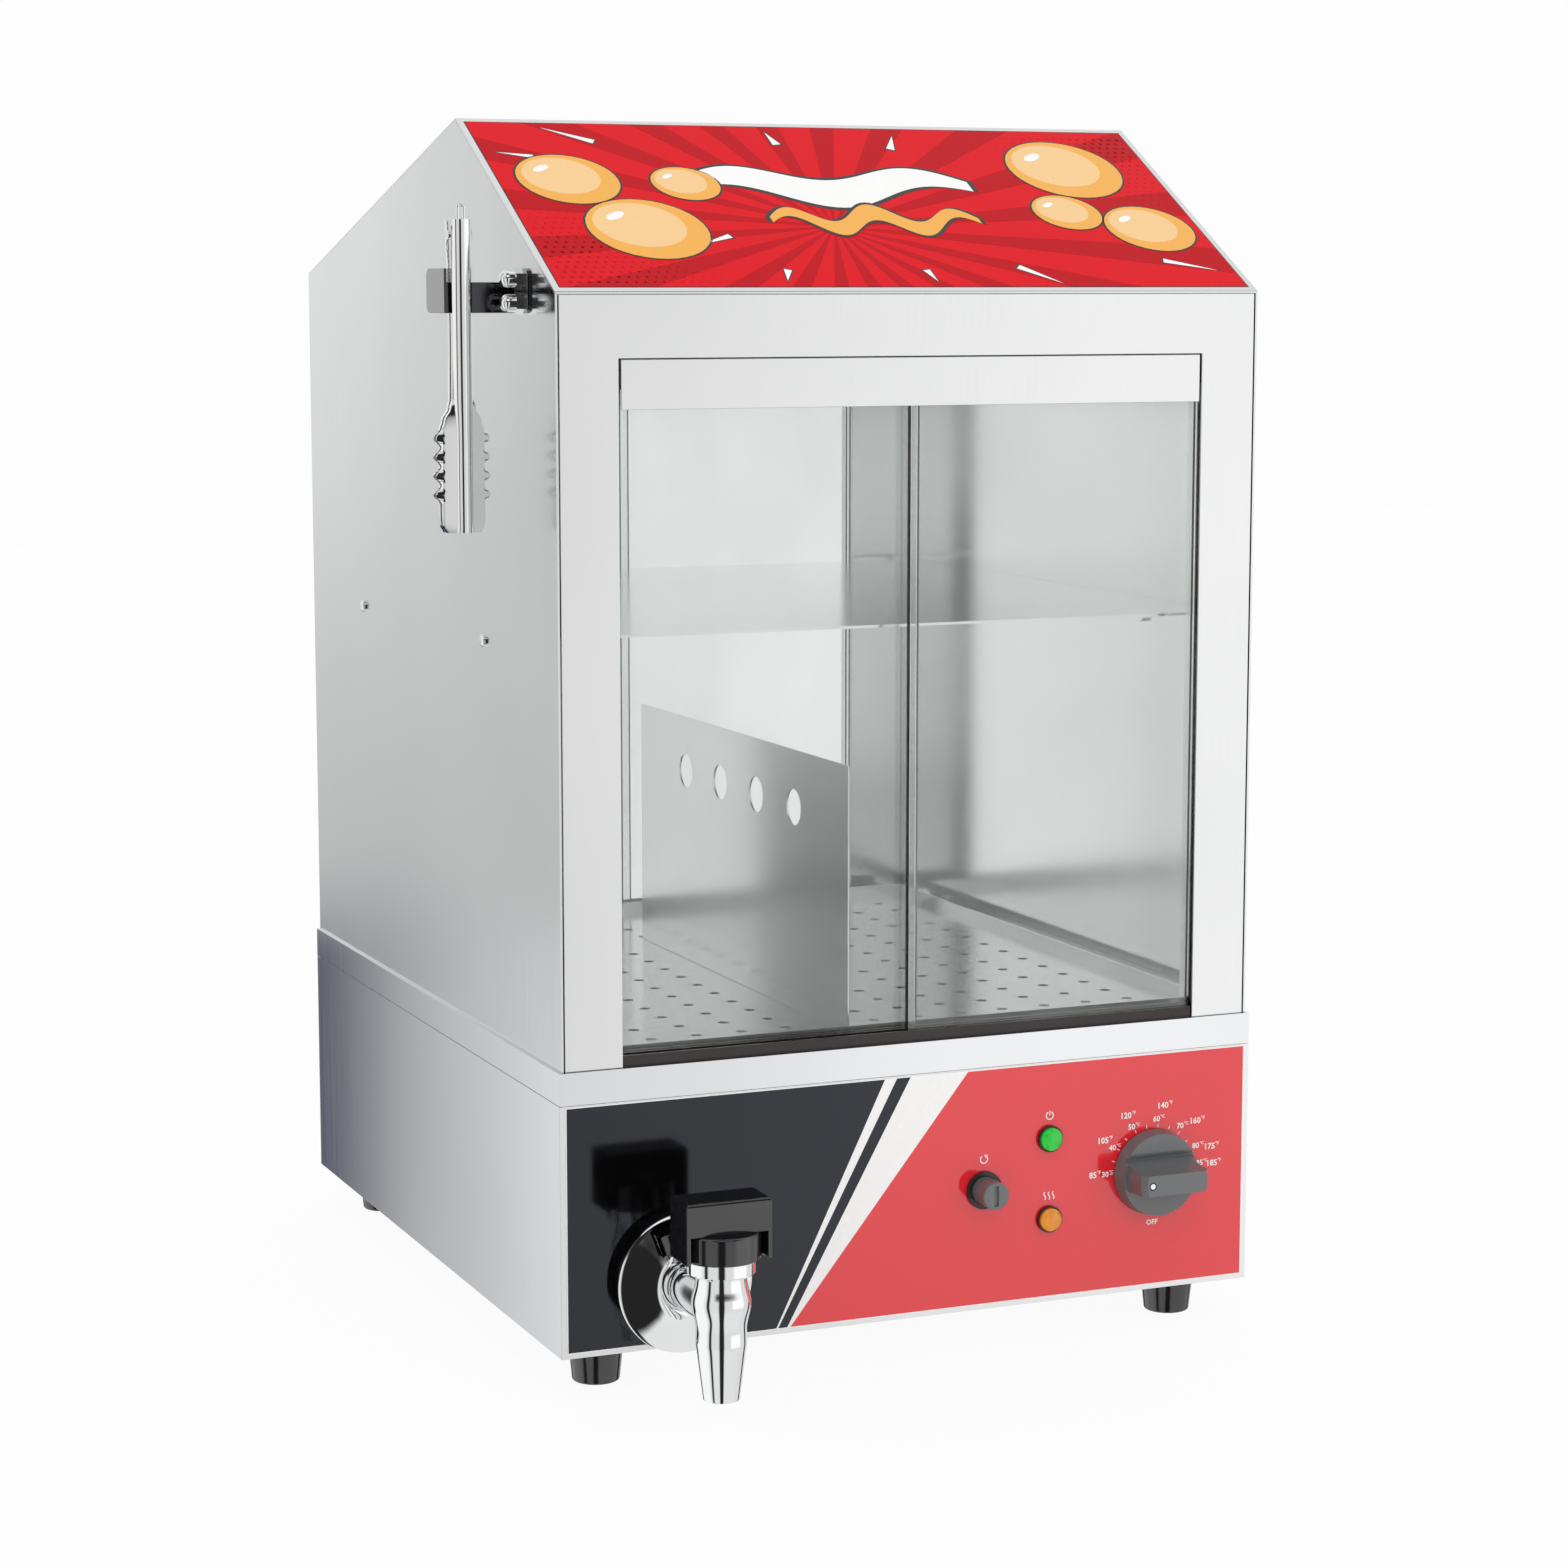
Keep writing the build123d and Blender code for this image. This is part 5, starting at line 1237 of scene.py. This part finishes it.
@dataclass
class DrainTap:
    """The chrome tap with its rose, black cap and push handle.

    Outlines are in millimetres, as radius and height. The body's goes smoothly through its stations.
    """

    spout: tuple[Point, ...] = ((0.0, 0.0), (7.4, 0.0), (8.9, 0.0), (9.3, 0.2))
    stations: tuple[Point, ...] = ((9.5, 0.6), (13.1, 29.0), (13.0, 37.0), (15.4, 51.0), (13.2, 62.6),
                                   (13.2, 65.0))
    collar: tuple[Point, ...] = ((0.0, 0.0), (14.6, 0.0), (15.2, 0.4), (15.2, 1.0), (16.6, 1.2), (17.5, 2.0),
                                 (17.5, 9.0), (0.0, 9.0))
    rose: tuple[Point, ...] = ((0.0, 0.0), (37.5, 0.0), (37.5, 7.6), (37.2, 8.6), (36.4, 9.2), (35.2, 9.6),
                               (31.0, 11.3), (27.0, 12.9), (23.0, 14.5), (19.4, 15.9), (17.4, 16.5),
                               (15.4, 16.55), (13.6, 16.3), (12.7, 15.6), (0.0, 15.6))
    cap_inset: float = 0.8 * MM
    cap_crown: float = 4.0 * MM
    cap_room: float = 0.4 * MM

    def body_profile(self, height: float) -> list[Point]:
        """Smooth outline of the body from its spout to its neck.

        Args:
            height: The body's height in metres.

        Returns:
            Radius and height of each ring in metres.
        """
        scale = height / self.stations[-1][1]
        profile = in_metres(self.spout)
        for (near, low), (far, high) in zip(self.stations, self.stations[1:]):
            for step in range(8):
                share = step / 8
                ease = share if near < 10.0 else (1.0 - math.cos(math.pi * share)) / 2
                profile.append(((near + (far - near) * ease) * MM, (low + (high - low) * share) * scale))
        return profile + [(self.stations[-1][0] * MM, height), (0.0, height)]

    def cap_profile(self) -> list[Point]:
        """Outline of the hollow cap, with room inside for the collar's top.

        Returns:
            Points of radius and height in metres.
        """
        low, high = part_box("tap_cap")
        radius, height = (high.x - low.x) / 2 - self.cap_inset, high.z - low.z
        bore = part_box("tap_bonnet")[1].x - middle("tap_cap").x + self.cap_room
        ceiling = height - self.cap_crown
        outside = [(radius - inward * MM, height - drop * MM)
                   for inward, drop in ((0.0, 1.5), (0.2, 0.8), (0.8, 0.2), (1.5, 0.0))]
        return [(0.0, ceiling), (bore, ceiling), (bore, 0.0), (radius - 0.6 * MM, 0.0), (radius, 0.6 * MM),
                *outside, (0.0, height)]

    def build(self) -> None:
        """Makes the tap."""
        cap, shank = middle("tap_cap"), middle("tap_escutcheon")
        low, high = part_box("tap_body")
        rose_low, rose_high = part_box("tap_escutcheon")
        cap_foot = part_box("tap_cap")[0].z
        neck = cap_foot - self.collar[-1][1] * MM
        body = Shape((Finish.CHROME,))
        body.turned(self.body_profile(neck - low.z), Matrix.Translation((cap.x, cap.y, low.z)))
        step, reach = rose_low.y - cap.y, high.y - cap.y
        body.turned([(0.0, 0.0), (12.5 * MM, 0.0), (12.5 * MM, step + 1.0 * MM),
                     (10.0 * MM, step + 1.2 * MM), (10.0 * MM, reach), (0.0, reach)],
                    Matrix.Translation((shank.x, cap.y, shank.z))
                    @ Matrix.Rotation(math.radians(-90.0), 4, "X"), steps=72)
        body.piece("tap_body_turned", HOUSING_BODY, "chrome", "tap_body", sharp=28.0)
        crown = Shape((Finish.BLACK_PLASTIC,))
        crown.turned(self.cap_profile(), Matrix.Translation((cap.x, cap.y, cap_foot)))
        crown.piece("tap_cap_turned", "tap_plunger", "black_plastic", "tap_cap", sharp=30.0)
        collar = Shape((Finish.CHROME,))
        collar.turned(in_metres(self.collar), Matrix.Translation((cap.x, cap.y, neck)))
        collar.piece("tap_collar", HOUSING_BODY, "chrome", "tap_bonnet", sharp=28.0)
        rose = Shape((Finish.CHROME,))
        rose.turned(in_metres(self.rose), to_front(shank.x, rose_high.y, shank.z), steps=128)
        rose.piece("tap_rose", HOUSING_BODY, "chrome", "tap_escutcheon", sharp=30.0)
        Skin("tap_handle", Finish.BLACK_PLASTIC, "black_plastic", "tap_plunger", 0.8 * MM,
             narrow=0.97).build()
        dress(Finish.ZINC, "tap_stem", "tap_spring")


@dataclass
class Tongs:
    """The steel tongs on their bracket. Stations are drop and half width of an arm in millimetres."""

    sheet: float = 0.9 * MM
    tooth: float = 3.2 * MM
    tooth_pitch: float = 9.6 * MM
    first_tooth: float = 110.0 * MM
    hinge_room: float = 15.5 * MM
    shallow: float = 4.6 * MM
    deep: float = 7.0 * MM
    handle_share: float = 0.57
    spine_lean: float = 80.0
    stations: tuple[Point, ...] = ((0.0, 5.9), (8.0, 5.5), (60.0, 5.2), (90.0, 5.5), (95.0, 6.6),
                                   (101.0, 9.6), (106.0, 11.0), (150.0, 11.2), (154.5, 10.8), (158.0, 9.0))

    def half_width(self, drop: float) -> float:
        """Half width of an arm at a distance below its head.

        Args:
            drop: Distance below the head in metres.

        Returns:
            The half width in metres.
        """
        drops = [station[0] * MM for station in self.stations]
        last = len(drops) - 2
        step = next((index for index in range(last + 1) if drop <= drops[index + 1]), last)
        share = (drop - drops[step]) / (drops[step + 1] - drops[step])
        ease = (1.0 - math.cos(math.pi * min(1.0, max(0.0, share)))) / 2
        near, far = self.stations[step][1], self.stations[step + 1][1]
        return (near + (far - near) * ease) * MM

    def scallop(self, drop: float) -> float:
        """How far a jaw's edge stands out as a tooth, from 0 to 1, at a distance below the head."""
        past = (drop - self.first_tooth) / self.tooth_pitch
        return (1.0 + math.cos(FULL_TURN * past)) / 2 if -0.5 < past < 3.5 else 0.0

    def section(self, drop: float, depth: float) -> list[Point]:
        """Outline of an arm at a distance below its head: a rounded spine, wings and a brim.

        Args:
            drop: Distance below the head in metres.
            depth: The arm's depth in metres.

        Returns:
            Distance across and depth of each corner in metres, round the outline.
        """
        half = self.half_width(drop)
        bump = self.scallop(drop)
        spread = min(1.0, max(0.0, (half - 5.2 * MM) / (5.6 * MM)))
        spine = (4.9 - 0.7 * spread) * MM
        crown = min((3.6 - 0.8 * spread) * MM, 0.5 * depth)
        edge = half + self.tooth * bump
        brim = depth - self.sheet - 1.2 * MM * bump
        wing = min(brim - 0.4 * MM, crown + (0.5 + 0.9 * spread) * MM)
        inner = half - 1.2 * MM * spread
        flat = crown + (wing - crown) * 0.8
        fold = 0.8 * self.sheet
        side = ((edge, brim, 0.0), (half, wing, fold), (inner, flat, fold))
        front: list[Point] = [(-across, level) for across, level, _ in side]
        back: list[Point] = [(tuck - across, level + self.sheet) for across, level, tuck in side]
        most = math.radians(self.spine_lean)
        for step in range(13):
            lean = math.radians(-self.spine_lean + 2 * self.spine_lean * step / 12)
            across = math.sin(lean) / math.sin(most)
            level = crown * ((1.0 - math.cos(lean)) / (1.0 - math.cos(most)))
            front.append((spine * across, level))
            back.append(((spine - fold) * across, level + self.sheet))
        front += [(across, level) for across, level, _ in side[::-1]]
        back += [(across - tuck, level + self.sheet) for across, level, tuck in side[::-1]]
        return front + back[::-1]

    def arm(self, name: str, node: str, body: str, inward: float) -> None:
        """Makes one arm: a ridged channel that spreads to a toothed jaw.

        The rear arm is shallow round the hinge, so that it doesn't meet the front one.

        Args:
            name: The piece's name.
            node: The CAD node that it stands for.
            body: The body that it rides on.
            inward: 1 where the channel opens to the back, -1 where it opens to the front.
        """
        low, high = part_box(node)
        centre = (low.x + high.x) / 2
        outer = low.y if inward > 0 else high.y
        length, share = high.z - low.z, self.handle_share
        drops = [length * step / 12 * share for step in range(12)]
        drops += [share * length + (1.0 - share) * length * step / 56 for step in range(57)]
        rings = []
        for drop in drops:
            depth = self.shallow if inward < 0 and drop < self.hinge_room else self.deep
            rings.append([(centre + across, outer + inward * level, high.z - drop)
                          for across, level in self.section(drop, depth)])
        Shape((Finish.POLISHED,)).lofted(rings).piece(name, body, "polished", node, sharp=34.0)

    def build(self) -> None:
        """Makes the tongs."""
        # The bracket's front faces get the near-black plating: a painted dark reflection on the stainless.
        Skin("tongs_bracket", Finish.BRACKET_STEEL, "stainless", radius=0.3 * MM,
             facing_finish=(Finish.DARK_STEEL, (0, -1, 0))).build()
        Skin("bracket_nuts", Finish.CHROME, "polished", radius=0.3 * MM).build()
        self.arm("tongs_front", "tongs_front_arm", "tongs", 1.0)
        self.arm("tongs_rear", "tongs_rear_arm", "tongs_swing_arm", -1.0)
        dress(Finish.POLISHED, "tongs_ring", "tongs_pin", "tongs_spring")


# ---------------------------------------------------------------------------------- studio


@dataclass(frozen=True)
class Band:
    """A patch of the surroundings that shiny surfaces see.

    Azimuth is in degrees, 0 to the front and 90 to the right, and height is the sine of the
    elevation. Each edge fades over twice its softness.
    """

    azimuth: float
    half_width: float
    softness: float
    bottom: float
    top: float
    fade: float
    level: float
    blue: float = 1.0


@dataclass
class Studio:
    """White sweep, soft lamps and the camera."""

    camera_from_corner: tuple[float, float, float] = (-0.59775, -1.70425, 0.55062)
    yaw: float = 22.932
    down: float = 7.925
    lens: float = 82.797
    floor_size: float = 12.0
    base_level: float = 0.80
    soft_light: float = 1.0
    backdrop: float = 0.982
    floor_glow: float = 0.992
    floor_glow_share: float = 0.94
    bands: tuple[Band, ...] = (
        Band(-5.0, 30.0, 5.0, -0.30, 0.16, 0.06, 0.80),
        Band(46.5, 25.0, 6.0, -0.30, 0.16, 0.06, 1.17),
        Band(0.0, 70.0, 12.0, -1.2, -0.42, 0.14, 0.86),
        Band(-4.0, 42.0, 8.0, 0.22, 1.2, 0.07, 0.05),
        Band(-122.0, 33.0, 8.0, -1.2, 0.5, 0.10, 1.05),
        Band(-166.0, 11.0, 3.0, -1.2, 0.5, 0.10, 0.62),
        Band(-20.0, 11.0, 4.0, -1.2, 0.5, 0.10, 0.02),
        Band(-73.0, 6.0, 4.0, -1.2, 0.5, 0.10, 0.02),
        Band(109.0, 7.0, 4.0, -1.2, 0.5, 0.10, 0.04),
        Band(-170.0, 7.8, 2.8, -0.08, 0.5, 0.09, 1.03),
        Band(-156.5, 4.5, 1.2, -0.09, 0.5, 0.03, 0.60),
        Band(-155.0, 6.4, 1.2, -1.2, -0.175, 0.012, 0.95),
        Band(-174.0, 10.3, 0.9, -1.2, -0.172, 0.012, 0.035, 2.4),
        Band(131.0, 42.0, 8.0, 0.60, 1.2, 0.08, 0.95),
    )

    def camera(self) -> None:
        """Places the camera."""
        data = bpy.data.cameras.new("camera")
        data.lens = self.lens
        data.sensor_width = 36.0
        data.clip_end = 50.0
        holder = bpy.data.objects.new("camera", data)
        corner = Vector((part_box("left_side_panel")[0].x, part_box("front_frame")[0].y,
                         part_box("base_floor")[0].z))
        holder.location = corner + Vector(self.camera_from_corner)
        holder.rotation_euler = (math.radians(90.0 - self.down), 0.0, math.radians(-self.yaw))
        bpy.context.scene.collection.objects.link(holder)
        bpy.context.scene.camera = holder

    def lamp(self, name: str, at: Sequence[float], aim: Sequence[float], size: tuple[float, float],
             power: float) -> None:
        """Adds a soft rectangular lamp.

        Args:
            name: The lamp's name.
            at: Its place in metres.
            aim: The point that it faces.
            size: Its width and height in metres.
            power: Its power in watts.
        """
        data = bpy.data.lights.new(name, "AREA")
        data.shape = "RECTANGLE"
        data.size, data.size_y = size
        data.energy = power
        holder = bpy.data.objects.new(name, data)
        holder.location = at
        holder.rotation_euler = (Vector(at) - Vector(aim)).to_track_quat("Z", "Y").to_euler()
        bpy.context.scene.collection.objects.link(holder)

    def within(self, sheet: NodeSheet, source: Socket, centre: float, half: float,
               softness: float) -> Socket:
        """Share, from 0 to 1, by which a value lies within a soft-edged range.

        Args:
            sheet: The world's nodes.
            source: The value.
            centre: The range's middle.
            half: Half its width.
            softness: Half the width of its soft edges.

        Returns:
            The share.
        """
        distance = sheet.math("ABSOLUTE", sheet.math("SUBTRACT", source, centre))
        return sheet.node("MapRange", {"Value": distance, "From Min": half + softness,
                                       "From Max": half - softness},
                          interpolation_type="SMOOTHSTEP").outputs["Result"]

    def mirrored(self, sheet: NodeSheet, direction: Socket) -> Socket:
        """Colour of the surroundings that shiny surfaces see in a direction.

        Args:
            sheet: The world's nodes.
            direction: The direction.

        Returns:
            The colour.
        """
        split = sheet.node("SeparateXYZ", {"Vector": direction}).outputs
        turn = sheet.math("ARCTAN2", split["X"], sheet.math("MULTIPLY", split["Y"], -1.0))
        azimuth = sheet.math("DEGREES", turn)
        result: object = grey(self.base_level)
        for band in self.bands:
            across = self.within(sheet, azimuth, band.azimuth, band.half_width, band.softness)
            upright = self.within(sheet, split["Z"], (band.bottom + band.top) / 2,
                                  (band.top - band.bottom) / 2, band.fade)
            colour = (band.level, band.level, band.level * band.blue, 1.0)
            result = sheet.blend(sheet.math("MULTIPLY", across, upright), result, colour)
        return result

    def seen(self, sheet: NodeSheet) -> tuple[Socket, Socket]:
        """Whether a ray comes from the camera, also through glass, and whether from a shiny surface.

        Args:
            sheet: The nodes of the world or of the floor.

        Returns:
            The two answers.
        """
        path = sheet.node("LightPath", {}).outputs
        plain = sheet.math("MAXIMUM", path["Is Camera Ray"], path["Is Transmission Ray"])
        return plain, path["Is Glossy Ray"]

    def surroundings(self) -> None:
        """Makes the world: white to the camera, even to matt surfaces and banded to shiny ones."""
        world = bpy.data.worlds.new("studio")
        world.use_nodes = True
        bpy.context.scene.world = world
        sheet = NodeSheet(world.node_tree)
        plain, glossy = self.seen(sheet)
        where = sheet.node("TexCoord", {}).outputs["Generated"]
        shiny = sheet.blend(glossy, grey(self.soft_light), self.mirrored(sheet, where))
        sheet.feed(sheet.tree.nodes["Background"],
                   {"Color": sheet.blend(plain, shiny, grey(self.backdrop)), "Strength": 1.0})

    def floor(self) -> None:
        """Makes the pale floor, which keeps a faint shadow and lets the surroundings into reflections."""
        mesh = bmesh.new()
        bmesh.ops.create_grid(mesh, x_segments=2, y_segments=2, size=self.floor_size / 2)
        data = bpy.data.meshes.new("floor")
        mesh.to_mesh(data)
        mesh.free()
        sheet = ShaderSheet("studio floor", Base_Color=grey(0.93), Roughness=0.8)
        plain, glossy = self.seen(sheet)
        glow = sheet.node("Emission", {"Color": grey(self.floor_glow)}).outputs["Emission"]
        share = sheet.math("MULTIPLY", plain, self.floor_glow_share)
        matt = sheet.layered(share, sheet.shader.outputs["BSDF"], glow)
        clear = sheet.node("BsdfTransparent", {}).outputs["BSDF"]
        sheet.show(sheet.layered(glossy, matt, clear))
        data.materials.append(sheet.material)
        holder = bpy.data.objects.new("floor", data)
        bpy.context.scene.collection.objects.link(holder)

    def build(self) -> None:
        """Sets the scene."""
        bpy.context.scene.view_settings.view_transform = "Standard"
        self.camera()
        self.surroundings()
        self.floor()
        target = (0.0, 0.0, 0.35)
        self.lamp("key", (-0.4, -2.4, 2.6), target, (2.2, 1.6), 10.0)
        self.lamp("fill", (2.6, -1.6, 1.5), target, (1.8, 1.8), 4.0)


def corners(bounds: Sequence[Vector]) -> list[list[float]]:
    """A box's two corners as plain numbers."""
    return [[round(float(value), 6) for value in corner] for corner in bounds]


def main() -> None:
    """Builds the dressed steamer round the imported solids."""
    logging.basicConfig(level=logging.INFO, format="%(name)s: %(message)s")
    FRAME.update(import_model())
    for part in (CABINET, BASE, RoofPrint(), ControlPanel(), DrainTap(), Tongs(), Studio()):
        part.build()
        LOG.info("%s done", type(part).__name__)


if __name__ == "__main__":
    main()
